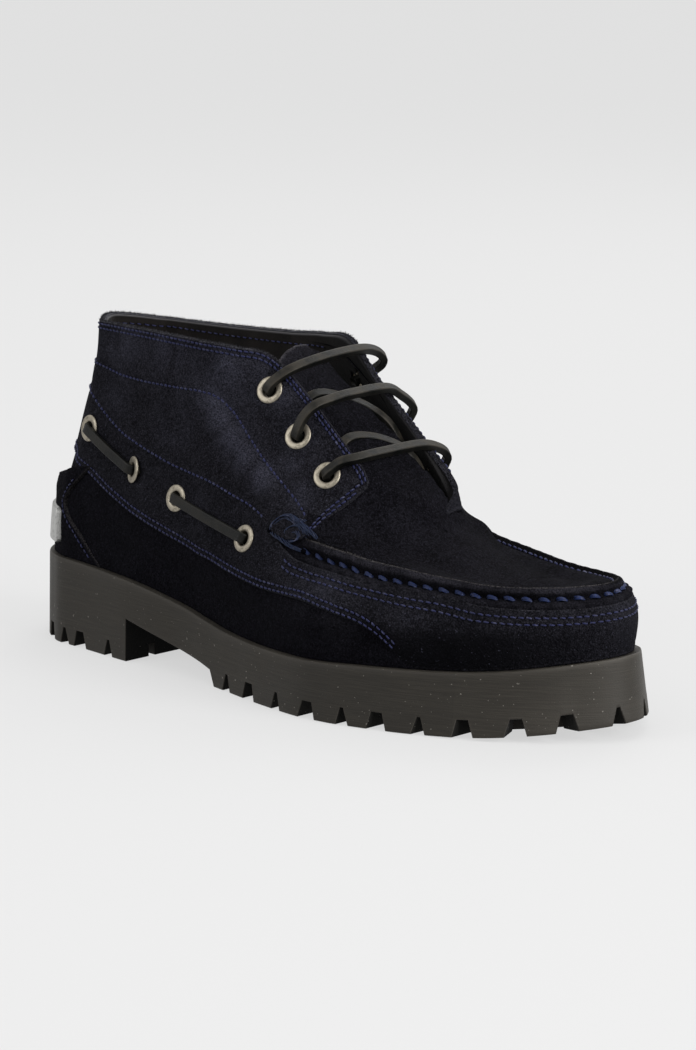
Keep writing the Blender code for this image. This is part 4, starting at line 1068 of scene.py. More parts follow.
def make_plug():
    """The toe plug, which runs on under the eyestays as the tongue.

    Returns its points and the distance of each from the tongue's top edge.
    """
    stations = np.concatenate([np.linspace(TONGUE_TOP, RIDGE_START, 110),
                               np.linspace(RIDGE_START, TIP, 110)[1:]])
    points = np.array([sheet_columns(at) for at in stations])
    shift = np.interp(points[0, :, 1] / MM, *zip(*TONGUE_EDGE)) * MM - points[0, :, 0]
    run = measured(points) / MM
    shift = np.clip(shift, -2.0 * MM, 9.0 * MM) * (1.0 - smooth_step(run, 0.0, 18.0))
    points[..., 0] += shift
    points[..., 2] -= shift * 0.70
    run = measured(points) / MM
    plain = points.copy()
    inside = smooth_step(stations, 10.0, 11.5)[:, None]
    points[..., 2] += (relief(plain) * (0.5 + 0.5 * inside) + 0.18 * waves(plain * 1.7)) * MM
    wear_and_shade = np.maximum(scuffed(plain), 0.42 * bell(run, 12.0))
    sheet = new_mesh("plug_and_tongue", points.reshape(-1, 3),
                     grid_faces(*points.shape[:2], flip=True), SHADED_PLUG_SUEDE,
                     two_marks(bell(run, 0.8), wear_and_shade), ["tongue"], weld=0.00003)
    solid = sheet.modifiers.new("Thickness", "SOLIDIFY")
    solid.thickness = TONGUE_THICKNESS * MM
    solid.offset = -1.0
    return points, run


# --- Panels on top --------------------------------------------------------------------------------
def mirrored(inner, outer):
    """One run of places from the inner side's front, round the heel, to the outer side's front."""
    inner = inner[::-1].copy()
    inner[:, 0] *= -1
    return np.concatenate([inner[:-1], outer])


def make_band():
    """The lace band round the heel, which runs on as the wall round the toe."""
    columns = 640
    at = np.arange(columns) * ROUND / columns
    lower = np.stack([at, smooth_table(BAND_BOTTOM, at, 0.12)], 1)
    upper = np.stack([at, smooth_table(BAND_TOP, at, 0.15)], 1)
    away = from_heel(at)
    base = (UNDER - 0.15 - 0.35 * smooth_step(-away, -4.0, -2.4)
            + 0.25 * smooth_step(away, 7.5, 8.5))
    band = Panel(lower, upper, base, 1.2, middle=22, troughs=((0.9, 0.10), (2.8, 0.12)))
    # Painted shade: the wall gets darker towards the sole and at the side of the toe
    away = from_heel(band.at)
    dark = 0.60 * smooth_step(away, 8.6, 12.0) * (1.0 - 0.55 * smooth_step(away, 13.5, 15.6))
    low = smooth_step(-band.level, -0.27, -0.14)
    # The band behind the knot, and at it, is a little darker too
    dark = dark + 0.16 * smooth_step(-away, -9.2, -8.0) + 0.14 * bell(away - 8.6, 0.6)
    band.wear_and_shade = band.wear_and_shade * (1.0 - 0.7 * low * (dark > 0.2)) - dark * (0.55 + 0.9 * low)
    band.edge *= 0.15
    band.piece("lace_band_and_wall", NAVY, closed=True, holes=True)
    return band


def reach_forward(at, share):
    """The inner eyestay's top corner reaches a little further forward."""
    away = (np.asarray(at) + 6.9 + TIP) % ROUND - TIP
    grown = bell(away, 0.75) * share ** 3
    front = bell(away + 3.2, 0.55) * share ** 3
    return (grown[..., None] * np.array([4.0, 2.6, 0.6])
            + front[..., None] * np.array([1.4, 1.2, 0.0])) * MM


def make_quarters():
    """The quarters with the collar and eyestays, from the inner tab round the heel to the outer."""
    share = np.linspace(0, 1, 380)
    quarter = path_at(QUARTER_EDGE, share)
    lower = mirrored(quarter, quarter)
    upper = mirrored(path_at(FAR_TOP, share), path_at(FACING_TOP, share))
    # Heights of the underside by station, along the lower edge and along the top
    base = np.interp(lower[:, 0], (-8.6, -8.0, -7.2, -4.0, -2.4, 2.4, 4.0, 7.2, 8.0, 8.6),
                     (-0.5, -0.8, -1.45, -1.45, -1.8, -1.8, -1.45, -1.45, -0.8, -0.5))
    top_base = np.interp(upper[:, 0], (-10.75, -10.45, -10.0, -9.5, -8.2, 7.6, 8.8, 9.2),
                         (-2.3, -1.3, -0.6, -0.4, -0.9, -0.9, -0.4, -0.4))
    quarters = Panel(lower, upper, base, 1.4, middle=46, cut_ends=(True, True), top_base=top_base,
                     troughs=((1.4, 0.10), (3.2, 0.10)))
    # How far the top stands off, which is most at the inner eyestay's corner
    stand = np.interp(upper[:, 0], (-10.7, -10.2, -9.4, -9.0, -8.2), (0.2, 0.5, 0.5, 0.3, 0.0))
    across = np.linspace(0, 1, quarters.points.shape[1])[None] ** 2
    normal = upper_normal(quarters.at, np.minimum(quarters.level, NEAR_TOP))
    # The facing's seam lies in a shallow groove, and the leather below it stands up a little
    apart = (quarters.level - along_table(FACING_EDGE, quarters.at)) * 80.0
    sunk = 0.30 * bell(apart, 1.1) - 0.22 * smooth_step(-apart, -1.5, 2.5)
    sunk = sunk * (np.abs(quarters.at) < 8.5)
    quarters.points = quarters.points + normal * (stand[:, None] * across - sunk)[..., None] * MM
    quarters.stand = stand
    quarters.points = quarters.points + reach_forward(quarters.at, across ** 0.5)
    level, away = quarters.level, np.abs(quarters.at)
    collar = smooth_step(level, 0.93, 0.97) * (1.0 - smooth_step(away, 6.2, 7.0))
    quarters.edge *= 0.12 + 0.88 * collar
    wear_and_shade = quarters.wear_and_shade + 0.15 * smooth_step(level, 0.76, 0.90) * (away < 7.0)
    wear_and_shade = wear_and_shade - 0.22 * smooth_step(-level, -0.66, -0.50)
    beside_edge = np.clip(1 - quarters.from_edge / 1.3, 0, 1)
    quarters.wear_and_shade = np.maximum(wear_and_shade, 0.30 * collar * beside_edge)
    quarters.piece("quarters_and_collar", NAVY, holes=True)
    return quarters


def make_lining():
    """The lining inside the collar, the quarters and the toe."""
    columns = 300
    at = np.arange(columns) * ROUND / columns
    lower = np.stack([at, np.full(columns, 0.01)], 1)
    upper = np.stack([at, np.full(columns, 0.996)], 1)
    away = from_heel(at)
    base = 0.9 + 4.2 * np.where(at < TIP, smooth_step(away, 8.1, 8.8),
                                smooth_step(away, 10.2, 11.0))
    lining = Panel(lower, upper, base, 1.5, middle=26, side=-1.0)
    share = np.linspace(0, 1, lining.points.shape[1])[None]
    lining.points += reach_forward(lining.at, share)
    # In the toe it hangs well below the plug, which is flatter than the last
    away = from_heel(lining.at)
    lining.points[..., 2] -= 9.0 * smooth_step(away, 9.0, 11.0) * smooth_step(share, 0.3, 0.5) * MM
    # Painted shade inside the throat and the toe: the lining goes near black and its pale edge
    # fades
    lining.wear_and_shade[:] = -0.85 * smooth_step(away, 5.6, 6.8)
    lining.edge *= 1.0 - 0.85 * smooth_step(away, 6.0, 7.2)
    lining.piece("lining", LINING, "lining", closed=True, holes=True)


def counter_dip(at, width, level):
    """How far the counter's top edge dips, in levels, at a place within its half width."""
    return COUNTER_DIP * smooth_step(level, 0.20, 0.42) * (1 - (at / width) ** 2)


def make_counter():
    """The waisted heel counter and its plain curved plate."""
    level, half = zip(*COUNTER_EDGE)
    levels = np.linspace(0.0, level[-1], 90)
    width = evened(np.interp(levels, level, half), 3) + COUNTER_MARGIN
    counter = Panel(np.stack([-width, levels], 1), np.stack([width, levels], 1), COUNTER_BASE,
                    1.25, middle=70, cut_ends=(False, True), troughs=((1.5, 0.12),))
    at, level = counter.at, counter.level
    share = (at - at[:, :1]) / (at[:, -1:] - at[:, :1])
    dip = COUNTER_DIP * smooth_step(level, 0.20, 0.42) * 4 * share * (1 - share)
    height = ((counter.points - surface(at, level)) * upper_normal(at, level)).sum(2) / MM
    height += (0.6 + 2.0 * smooth_step(level, 0.10, 0.34)) * (1 - (2 * share - 1) ** 4)
    counter.edge *= 0.3
    counter.points = surface(at, level - dip, height)
    counter.piece("heel_counter_leather", DARK, flip=True, replaced=["heel_counter"])
    # The plate's lower and upper level, and the levels that its rounded corners take up
    low, high, corner_level = 0.05, 0.20, 0.022
    levels = np.linspace(low, high, 40)
    into = 1 - np.minimum(levels - low, high - levels) / corner_level
    corner = 0.35 * (1 - np.sqrt(1 - np.clip(into, 0, 1) ** 2))
    half = 2.35 - corner * 0.8
    plate = Panel(np.stack([-half, levels], 1), np.stack([half, levels], 1),
                  2.0, 1.2, middle=60, cut_ends=(True, True))
    plate.edge *= 0
    plate.wear_and_shade *= 0
    plate.piece("heel_plate_metal", PLATE, "metal", flip=True, replaced=["heel_plate"])


# --- Threads --------------------------------------------------------------------------------------
def tubes(centres, normals, radii, sides=6):
    """Closed tubes: centres and normals are (tubes, rings, 3), radii (tubes, rings) in metres."""
    count, rings = centres.shape[:2]
    tangent = unit(np.gradient(centres, axis=1))
    across = unit(np.cross(tangent, normals))
    up = np.cross(across, tangent)
    turn = (np.arange(sides) * 2 * np.pi / sides)[:, None]
    ring = across[:, :, None] * np.cos(turn) + up[:, :, None] * np.sin(turn)
    vertices = centres[:, :, None] + ring * radii[:, :, None, None]
    i, j, k = np.meshgrid(np.arange(count), np.arange(rings - 1), np.arange(sides), indexing="ij")
    here = (i * rings + j) * sides
    after = (k + 1) % sides
    quads = np.stack([here + k, here + after, here + sides + after, here + sides + k], -1)
    first = (np.arange(count) * rings * sides)[:, None]
    caps = [first + np.arange(sides)[::-1], first + (rings - 1) * sides + np.arange(sides)]
    faces = [tuple(face) for part in (quads.reshape(-1, 4), *caps) for face in part]
    return vertices.reshape(-1, 3), faces


def at_run(run, values, where):
    """Values along a line at given distances."""
    return np.stack([np.interp(where, run, values[:, i]) for i in range(3)], -1)


def normals_at(run, normals, where):
    """Unit normals along a line at given distances."""
    return unit(at_run(run, normals, where))


# Stitch sizes in millimetres, by the row that they are used for
BAND_STITCH = {"pitch": 2.6, "length": 1.65, "radius": 0.44, "rise": 0.22}
WALL_STITCH = {"pitch": 3.0, "length": 2.3, "radius": 0.34}
FOOT_STITCH = {"radius": 0.36}
QUARTER_STITCH = {"pitch": 2.4, "radius": 0.37}
FACING_STITCH = {"length": 1.6, "radius": 0.44, "rise": 0.22}
TONGUE_STITCH = {"radius": 0.36}
LINING_STITCH = {"pitch": 3.0, "radius": 0.26}
LIP_STITCH = {"pitch": 3.0, "length": 2.1, "radius": 0.46}
STITCH_SINK = 0.16
NEEDLE_HOLE_RADIUS = 0.36


class Sewing:
    """Collects stitches, and painted shade for their needle holes, into two joined pieces."""

    def __init__(self):
        self.stitches, self.holes = Bundle(), []

    def row(self, line, pitch=2.5, length=2.0, radius=0.29, rise=0.17):
        """Stitches along a line, whose middles rise above the leather and whose ends sink in."""
        points, normals = line
        run = measured(points)
        count = int(run[-1] / (pitch * MM)) - 1
        if count < 2:
            return
        where = (np.arange(count) + 0.8) * pitch * MM + DICE.uniform(-0.12, 0.12, count) * MM
        share = np.linspace(-0.5, 0.5, 5)
        lengths = length + DICE.uniform(-0.12, 0.12, count)[:, None]
        spots = where[:, None] + share[None] * lengths * MM
        centres, up = at_run(run, points, spots), normals_at(run, normals, spots)
        across = np.cross(unit(np.gradient(centres, axis=1)), up)
        bow = np.cos(np.pi * share)[None, :, None] ** 0.6
        slant = (0.28 + DICE.uniform(-0.1, 0.1, count))[:, None, None] * share[None, :, None]
        holes = centres[:, (0, -1)] + across[:, (0, -1)] * slant[:, (0, -1)] * MM
        high = -STITCH_SINK + (STITCH_SINK + rise) * bow
        centres = centres + up * high * MM + across * slant * MM
        radii = radius * (0.6 + 0.4 * bow[..., 0]) * MM * np.ones((count, 1))
        self.stitches.add(*tubes(centres, up, radii))
        self.holes.append(np.stack([holes, up[:, (0, -1)]], 2).reshape(-1, 2, 3))

    def pieces(self):
        self.stitches.piece("stitching", THREAD)
        # Painted shade: a small near-black double pyramid at each needle hole
        spots = np.concatenate(self.holes)
        place, up = spots[:, 0], spots[:, 1]
        across = unit(np.cross(up, np.array([0.31, 0.17, 0.93])))
        third = np.cross(up, across)
        radius = NEEDLE_HOLE_RADIUS * MM
        corners = [place + across * radius, place + third * radius, place - across * radius,
                   place - third * radius, place + up * 0.10 * MM, place - up * 0.25 * MM]
        vertices = np.stack(corners, 1).reshape(-1, 3)
        first = np.arange(len(place))[:, None, None] * 6
        shape = np.array([(0, 1, 4), (1, 2, 4), (2, 3, 4), (3, 0, 4), (1, 0, 5), (2, 1, 5),
                          (3, 2, 5), (0, 3, 5)])[None]
        new_mesh("needle_hole_shade_marks", vertices, (first + shape).reshape(-1, 3), HOLE_SHADE)


def end_row(quarters, distance, column, inward):
    """A stitched line beside the tab's front edge."""
    share = np.linspace(0.03, 0.955, 70)[:, None]
    low, high = quarters.lower[column], quarters.upper[column]
    low_in, high_in = quarters.lower[inward], quarters.upper[inward]
    places = low + (high - low) * share
    step = low_in + (high_in - low_in) * share - places
    size = np.linalg.norm(surface(*(places + step).T) - surface(*places.T), axis=1) / MM
    places = places + step * (distance / size)[:, None]
    share = share[:, 0]
    base = quarters.base[column] + (quarters.top_base[column] - quarters.base[column]) * share
    lift = base + quarters.thickness + quarters.stand[column] * share ** 2 * 0.9
    return lift_line(places[:, 0], places[:, 1], lift)


def foot_row(band, distance, start, end):
    """A line at an even distance inside the band's lower edge."""
    last = len(band.lower) - 1
    pick = slice(int(start * last), int(end * last) + 1)
    at, level = band.lower[pick].T
    line = surface(at, level)
    inward = np.cross(upper_normal(at, level), unit(np.gradient(line, axis=0)))
    inward *= np.sign(inward[:, 2:])
    # Solved for the step in stations and levels that goes that far inward
    step_at = (surface(at + NORMAL_STEP, level) - line) / NORMAL_STEP / MM
    step_level = (surface(at, level + NORMAL_STEP) - line) / NORMAL_STEP / MM
    gram = np.stack([(step_at ** 2).sum(1), (step_at * step_level).sum(1),
                     (step_level ** 2).sum(1)])
    goal_at, goal_level = ((inward * step).sum(1) * distance for step in (step_at, step_level))
    size = gram[0] * gram[2] - gram[1] ** 2
    at = at + (goal_at * gram[2] - goal_level * gram[1]) / size
    level = level + (goal_level * gram[0] - goal_at * gram[1]) / size
    free = level > 0.03
    return lift_line(at[free], level[free], band.base[pick][free] + band.thickness)


def make_sewing(band, quarters, sheet, lip_row):
    """Every machine-sewn row."""
    sewing = Sewing()
    # The band's top edge behind the knots, the wall's two rows in front, and the band's foot
    back, front, foot = 7.8 / ROUND, 8.35 / ROUND, 12.0 / ROUND
    for start, end in ((0.0, back), (1 - back, 1.0)):
        sewing.row(band.row(0.9, start, end), **BAND_STITCH)
    for distance in (3.1, 5.6):
        sewing.row(band.row(distance, front, 1 - front), **WALL_STITCH)
    for start, end in ((0.0, foot), (1 - foot, 1.0)):
        for distance in (0.9, 2.9):
            sewing.row(foot_row(band, distance, start, end), **FOOT_STITCH)
    # The collar's and the eyestays' edges
    for distance in (1.4, 3.2):
        points, normals = quarters.row(distance)
        points = points + normals * quarters.stand[:, None] * MM * 0.85
        reach = (1.0 - distance / quarters.width) ** 0.5
        points = points + reach_forward(quarters.upper[:, 0], reach)
        first = int(np.argmax(quarters.upper[:, 0] > -9.7))
        sewing.row((points[first:], normals[first:]), **QUARTER_STITCH)
        sewing.row(end_row(quarters, distance, -1, -20), **QUARTER_STITCH)
    # The facing's lower edge
    at = np.linspace(-8.5, 8.5, 500)
    level = smooth_table(FACING_EDGE, at, 0.15)
    low, high = along_table(QUARTER_EDGE, at), along_table(FACING_TOP, at)
    rise = -1.6 + 0.7 * (level - low) / (high - low) + quarters.thickness - 0.14
    rise = rise + np.interp(np.abs(at), (7.2, 8.4), (0.0, 0.55))
    sewing.row(lift_line(at, level, rise), **FACING_STITCH)
    # The counter's two sides
    levels = np.linspace(0.02, 0.375, 80)
    half = np.interp(levels, *zip(*COUNTER_EDGE))
    rise = COUNTER_BASE + 1.18 + 0.1 + 0.35 * smooth_step(levels, 0.10, 0.34)
    for side in (-1, 1):
        at = side * (half - 0.02)
        dip = counter_dip(at, half + COUNTER_MARGIN, levels)
        sewing.row(lift_line(at, levels - dip, rise))
    # The tongue's top edge
    top, run = sheet
    line = np.array([[np.interp(2.0, run[:, j], top[:, j, i]) for i in range(3)]
                     for j in range(4, 65)])
    apart = np.linalg.norm(np.diff(line, axis=0), axis=1) > 0.1 * MM
    line = line[np.concatenate([[True], apart])]
    normal = np.array([0.35, -0.15, 0.92])
    sewing.row((line + normal * 0.30 * MM, np.tile(normal, (len(line), 1))), **TONGUE_STITCH)
    # The collar's inside, and the lip's inner wall
    at = np.linspace(-6.3, 6.3, 400)
    points, normals = lift_line(at, np.full(at.shape, 0.958), -2.45)
    sewing.row((points, -normals), **LINING_STITCH)
    sewing.row(lip_row, **LIP_STITCH)
    sewing.pieces()


def make_collar_fibres(quarters):
    """Short loose fibres on the raw edge of the collar."""
    pick = np.abs(quarters.upper[:, 0]) < 7.3
    line = quarters.points[pick, -3]
    normals = upper_normal(quarters.upper[pick, 0], np.full(pick.sum(), NEAR_TOP))
    run = measured(line)
    count = COLLAR_FIBRES
    where = DICE.uniform(0.0, run[-1], count)
    root, out = at_run(run, line, where), at_run(run, normals, where)
    out = out * DICE.uniform(-0.9, 0.9, (count, 1)) + UP
    grow = unit(out + DICE.normal(0.0, 0.55, (count, 3)))
    root = root + normals_at(run, normals, where) * (DICE.uniform(-1.25, 0.15, (count, 1)) * MM)
    length = DICE.uniform(0.25, 0.80, (count, 1)) * MM
    bend = DICE.normal(0.0, 0.25, (count, 3)) * length
    centres = np.stack([root - grow * 0.25 * MM, root + grow * length * 0.55 + bend * 0.3,
                        root + grow * length + bend], 1)
    bundle = Bundle()
    bundle.add(*fibres(centres, np.cross(grow, ASKEW), (0.075, 0.065, 0.03)))
    marks = np.repeat(DICE.uniform(0.2, 1.0, count), 9)
    bundle.piece("collar_fibres", NAVY, marks=two_marks(marks, marks * 0))


def strands(name, lines, radius, material, sides):
    """Several tubes of their own lengths in one piece. lines are (centres, normals)."""
    bundle = Bundle()
    for centres, normals in lines:
        radii = np.full((1, len(centres)), radius * MM)
        bundle.add(*tubes(centres[None], normals[None], radii, sides))
    bundle.piece(name, material)


# The moc seam's hand stitches: the first one's station, their length and their thread's radius
MOC_START = 8.60
MOC_STITCH_LENGTH = 4.3
MOC_STRAND_RADIUS = 0.33


def make_moc_stitches(seam_line, along):
    """The big hand-sewn stitches that lie in the groove round the plug."""
    columns = len(seam_line)
    at = np.arange(columns) * ROUND / columns
    normals = upper_normal(at, smooth_table(MOC_SEAM, at))
    run = along * MM
    middle = run[columns // 2]
    first, last = (np.interp(station, at, run) for station in (MOC_START, ROUND - MOC_START))
    lines = []
    before = int((middle - first) / (STITCH_PITCH * MM))
    after = int((last - middle) / (STITCH_PITCH * MM))
    share = np.linspace(-0.5, 0.5, 9)
    bow = np.cos(np.pi * share) ** 0.45
    for i in range(-before, after + 1):
        centre = middle + i * STITCH_PITCH * MM
        for strand in (-1.0, 0.0, 1.0):
            length = MOC_STITCH_LENGTH + DICE.uniform(-0.35, 0.35)
            where = centre + share * length * MM + (strand * 0.30 + DICE.uniform(-0.1, 0.1)) * MM
            line, up = at_run(run, seam_line, where), normals_at(run, normals, where)
            across = unit(np.cross(np.gradient(line, axis=0), up))
            slide = strand * 0.48 + share * (0.8 + DICE.uniform(-0.25, 0.25))
            high = DICE.uniform(-0.08, 0.08) + 0.08 * (strand == 0.0)
            rise = -2.35 + (1.80 + high) * bow
            lines.append((line + up * (rise * MM)[:, None] + across * (slide * MM)[:, None], up))
    strands("moc_stitches", lines, MOC_STRAND_RADIUS, MOC_THREAD, 7)


# Radii of the knot's threads, and of the near-black tubes painted as shade in the holes they run
# through
KNOT_STRAND_RADIUS = 0.19
KNOT_HOLE_RADIUS = 0.95
# Threads of the knot where the moc seam starts: (station, level, height) places
KNOT_THREADS = (((7.88, 0.508, -0.8), (7.90, 0.520, 0.9), (7.90, 0.541, 1.3), (7.98, 0.563, 1.6),
                 (8.10, 0.585, 1.8), (8.24, 0.592, 1.9), (8.39, 0.581, 2.0), (8.58, 0.564, 1.9),
                 (8.81, 0.537, 1.0), (8.86, 0.530, -0.4)),
                ((7.93, 0.528, -0.6), (7.95, 0.541, 1.0), (8.03, 0.564, 1.3), (8.15, 0.581, 1.5),
                 (8.30, 0.577, 1.6), (8.45, 0.561, 1.6), (8.57, 0.538, 1.1), (8.62, 0.525, -0.5)),
                ((8.24, 0.496, -0.6), (8.22, 0.510, 1.0), (8.20, 0.535, 1.4), (8.26, 0.554, 1.7),
                 (8.38, 0.569, 1.9), (8.49, 0.564, 1.9), (8.61, 0.546, 1.6), (8.68, 0.539, 0.8),
                 (8.72, 0.530, -0.5)),
                ((7.88, 0.524, -0.6), (7.90, 0.516, 0.8), (8.01, 0.507, 1.1), (8.14, 0.501, 1.3),
                 (8.26, 0.489, 1.3), (8.37, 0.479, 1.1), (8.52, 0.473, 0.6), (8.65, 0.471, -0.6)),
                ((8.25, 0.500, -0.5), (8.27, 0.506, 0.9), (8.30, 0.530, 1.3), (8.39, 0.545, 1.6),
                 (8.47, 0.532, 1.7), (8.45, 0.507, 1.6), (8.35, 0.497, 1.3), (8.28, 0.512, 0.6)),
                ((8.40, 0.590, -0.3), (8.43, 0.580, 1.5), (8.58, 0.566, 2.1), (8.70, 0.551, 2.1),
                 (8.82, 0.534, 1.2), (8.86, 0.528, -0.4)),
                ((8.16, 0.590, -0.4), (8.20, 0.587, 1.2), (8.33, 0.584, 1.9), (8.44, 0.594, 1.7),
                 (8.54, 0.590, 0.6)))
KNOT_HOLES = ((7.885, 0.516), (8.20, 0.492), (8.62, 0.470))


def make_knot():
    """The hand-sewn threads at both ends of the moc seam, and painted shade in the holes they run
    through.
    """
    lines, hole_shade_lines = [], []
    for inner in (False, True):
        for thread_places in KNOT_THREADS:
            table = np.array(thread_places)
            index = np.arange(len(table))
            share = np.linspace(0, len(table) - 1, 9 * len(table))
            stations, levels, heights = (evened(np.interp(share, index, column), 4)
                                         for column in table.T)
            turn = share * 1.5
            for strand in range(5):
                phase = turn + strand * np.pi / 2.5 + 0.3 * np.sin(share * 2.0 + strand)
                at = stations + 0.022 * np.cos(phase)
                level = levels + 0.0055 * np.cos(phase + 0.5)
                at = ROUND - at if inner else at
                lines.append((surface(at, level, heights - 0.75 + 0.34 * np.sin(phase)),
                              upper_normal(at, levels)))
        # Painted shade: a near-black tube sunk in each hole
        for at, level in KNOT_HOLES:
            at = np.full(3, ROUND - at if inner else at)
            line = surface(at, np.full(3, level), np.array([-1.2, -0.2, 0.55]))
            hole_shade_lines.append((line, np.tile((0.3, 0.5, 0.2), (3, 1))))
    strands("moc_knots", lines, KNOT_STRAND_RADIUS, KNOT_THREAD, 6)
    strands("knot_hole_shade", hole_shade_lines, KNOT_HOLE_RADIUS, HOLE_SHADE, 12)


# --- Eyelets and laces ----------------------------------------------------------------------------
# The eyelet's section, from its barrel's foot over the flange to its rim: radius and height
EYELET_SECTION = ((2.75, -2.6), (2.75, -0.2), (2.85, 0.2), (3.05, 0.42), (3.4, 0.54), (3.9, 0.56),
                  (4.5, 0.52), (4.95, 0.42), (5.2, 0.25), (5.32, 0.05), (5.32, -0.2), (5.15, -0.3),
                  (3.2, -0.3), (3.2, -2.6))
# The top inner throat eyelet sits on a raised corner, and the second side one tips to the back
TOP_INNER_RISE = 1.0
SECOND_SIDE_TILT = np.array([-0.30, 0.0, 0.0])


def eyelet_mesh():
    """One turned eyelet."""
    sides = 40
    radius, height = (np.array(column)[None] for column in zip(*EYELET_SECTION))
    turn = (np.arange(sides) * 2 * np.pi / sides)[:, None]
    vertices = np.stack([radius * np.cos(turn), radius * np.sin(turn),
                         np.repeat(height, sides, 0)], -1) * MM
    faces = grid_faces(sides, len(EYELET_SECTION), closed=True, flip=True)
    mesh = bpy.data.meshes.new("eyelet_ring")
    mesh.from_pydata(vertices.reshape(-1, 3).tolist(), [],
                     [tuple(map(int, face)) for face in faces])
    mesh.materials.append(METAL)
    mesh.shade_smooth()
    return mesh


def leather_stand(group, at):
    """How high the leather under an eyelet stands above the surface, in millimetres."""
    return 0.45 + (0.45 * smooth_step(at, 7.6, 8.8) if group == "throat" else 0.10)


def make_eyelets():
    """Every eyelet, with its axis along the leather's normal. Returns place and axis by name."""
    mesh = eyelet_mesh()
    frames = {}
    for group, label, table in EYELET_PLACES:
        for number, (at, level) in enumerate(table, 1):
            station, levels = np.array([at]), np.array([level])
            rise = leather_stand(group, min(at, ROUND - at))
            if (group, label, number) == ("throat", "medial", 1):
                rise += TOP_INNER_RISE
            place = lift_line(station, levels, rise)[0][0]
            axis = upper_normal(station, levels)[0]
            if (group, number) == ("side", 2):
                axis = axis + SECOND_SIDE_TILT
            axis = Vector(axis).normalized()
            name = f"{group}_{label}_{number}"
            ring = bpy.data.objects.new("ring_" + name, mesh)
            turn = axis.to_track_quat("Z", "Y").to_matrix().to_4x4()
            ring.matrix_world = Matrix.Translation(Vector(place)) @ turn
            bpy.context.scene.collection.objects.link(ring)
            settle(ring, [f"{group}_eyelet_{label}_{number}"])
            frames[name] = (np.array(place), np.array(axis))
    return frames


# Millimetres between the sections of a lace
LACE_STEP = 1.1


def smooth_through(points):
    """Even points on a smooth curve through a route's own points."""
    points = np.array(points)
    padded = np.vstack([2 * points[0] - points[1], points, 2 * points[-1] - points[-2]])
    fine = []
    for i in range(1, len(padded) - 2):
        p0, p1, p2, p3 = padded[i - 1:i + 3]
        part = np.linspace(0, 1, 16, endpoint=False)[:, None]
        fine.append(0.5 * (2 * p1 + (p2 - p0) * part + (2 * p0 - 5 * p1 + 4 * p2 - p3) * part ** 2
                           + (3 * p1 - p0 - 3 * p2 + p3) * part ** 3))
    fine = np.vstack(fine + [points[-1:]])
    run = measured(fine)
    return at_run(run, fine, np.linspace(0, run[-1], int(run[-1] / (LACE_STEP * MM)) + 1))


# A lace strip's rounded corner, in corner radii: how far in from the side, how far up, and its mark
STRIP_CORNER = (((0.0, -0.25), 0.5), ((0.0, 0.0), 1.0), ((0.29, 0.71), 1.0), ((1.0, 1.0), 1.0),
                ((1.25, 1.0), 0.5))


def strip(points, reference, width, thick, corner=0.36):
    """A leather lace's skin along points: a soft-cornered rectangle that doesn't twist.

    Returns its points and marks: above 0 at the worn upper corners, below 0 painted shade
    elsewhere.
    """
    tangent = unit(np.gradient(points, axis=0))
    middle = len(points) // 2
    up = np.zeros(points.shape)
    up[middle] = reference - tangent[middle] * (reference @ tangent[middle])
    up[middle] /= np.linalg.norm(up[middle])
    for order, back in ((range(middle + 1, len(points)), -1), (range(middle - 1, -1, -1), 1)):
        for i in order:
            up[i] = up[i + back] - tangent[i] * (up[i + back] @ tangent[i])
            up[i] /= np.linalg.norm(up[i])
    across = np.cross(tangent, up)
    outline, edge = [], []
    for side_x, side_y in ((1, 1), (-1, 1), (-1, -1), (1, -1)):
        places = [((side_x * (width / 2 - corner * in_x),
                    side_y * (thick / 2 - corner + corner * up_y)), mark)
                  for (in_x, up_y), mark in STRIP_CORNER]
        if side_x * side_y < 0:
            places = places[::-1]
        if side_x == side_y:
            places.append(((0.0, side_y * thick / 2), 0.0))
        else:
            places.append(((side_x * width / 2, 0.0), 0.0))
        outline += [place for place, _ in places]
        edge += [mark for _, mark in places]
    outline, edge = np.array(outline), np.array(edge)
    # Painted shade: every face but the top one gets a mark below 0
    top = smooth_step(outline[:, 1], thick / 2 - corner * 0.9, thick / 2 - corner * 0.1)
    outline = outline * MM
    skin = (points[:, None] + across[:, None] * outline[None, :, :1]
            + up[:, None] * outline[None, :, 1:])
    return skin, np.tile(edge * top + (top - 1.0), (len(points), 1))


def side_strip(points, reference):
    """A side lace's skin: flatter than the throat's, and darkened all over by painted shade."""
    skin, mark = strip(points, reference, SIDE_LACE_WIDTH, SIDE_LACE_THICK, 0.4)
    return skin, np.minimum(mark, 0.0) * 0.2 - 0.78


def join_strips(name, strips, replaced):
    """Several lace runs in one piece, closed at their ends."""
    bundle, marks = Bundle(), []
    for skin, mark in strips:
        rings, sides = skin.shape[:2]
        start = tuple(i * rings for i in range(sides))
        end = tuple(i * rings + rings - 1 for i in range(sides))[::-1]
        faces = [*grid_faces(sides, rings, closed=True), start, end]
        bundle.add(np.swapaxes(skin, 0, 1).reshape(-1, 3), faces)
        marks.append(mark.T.ravel())
    mark = np.concatenate(marks)
    bundle.piece(name, LACE, "lace_leather",
                 two_marks(np.maximum(mark, 0.0), np.minimum(mark, 0.0)), replaced)


# The direction out of the throat, and the laces' sections in millimetres
THROAT_UP = np.array([0.6, 0.0, 0.8])
LACE_WIDTH = 3.5
LACE_THICK = 2.9
SIDE_LACE_WIDTH = 3.9
SIDE_LACE_THICK = 1.9
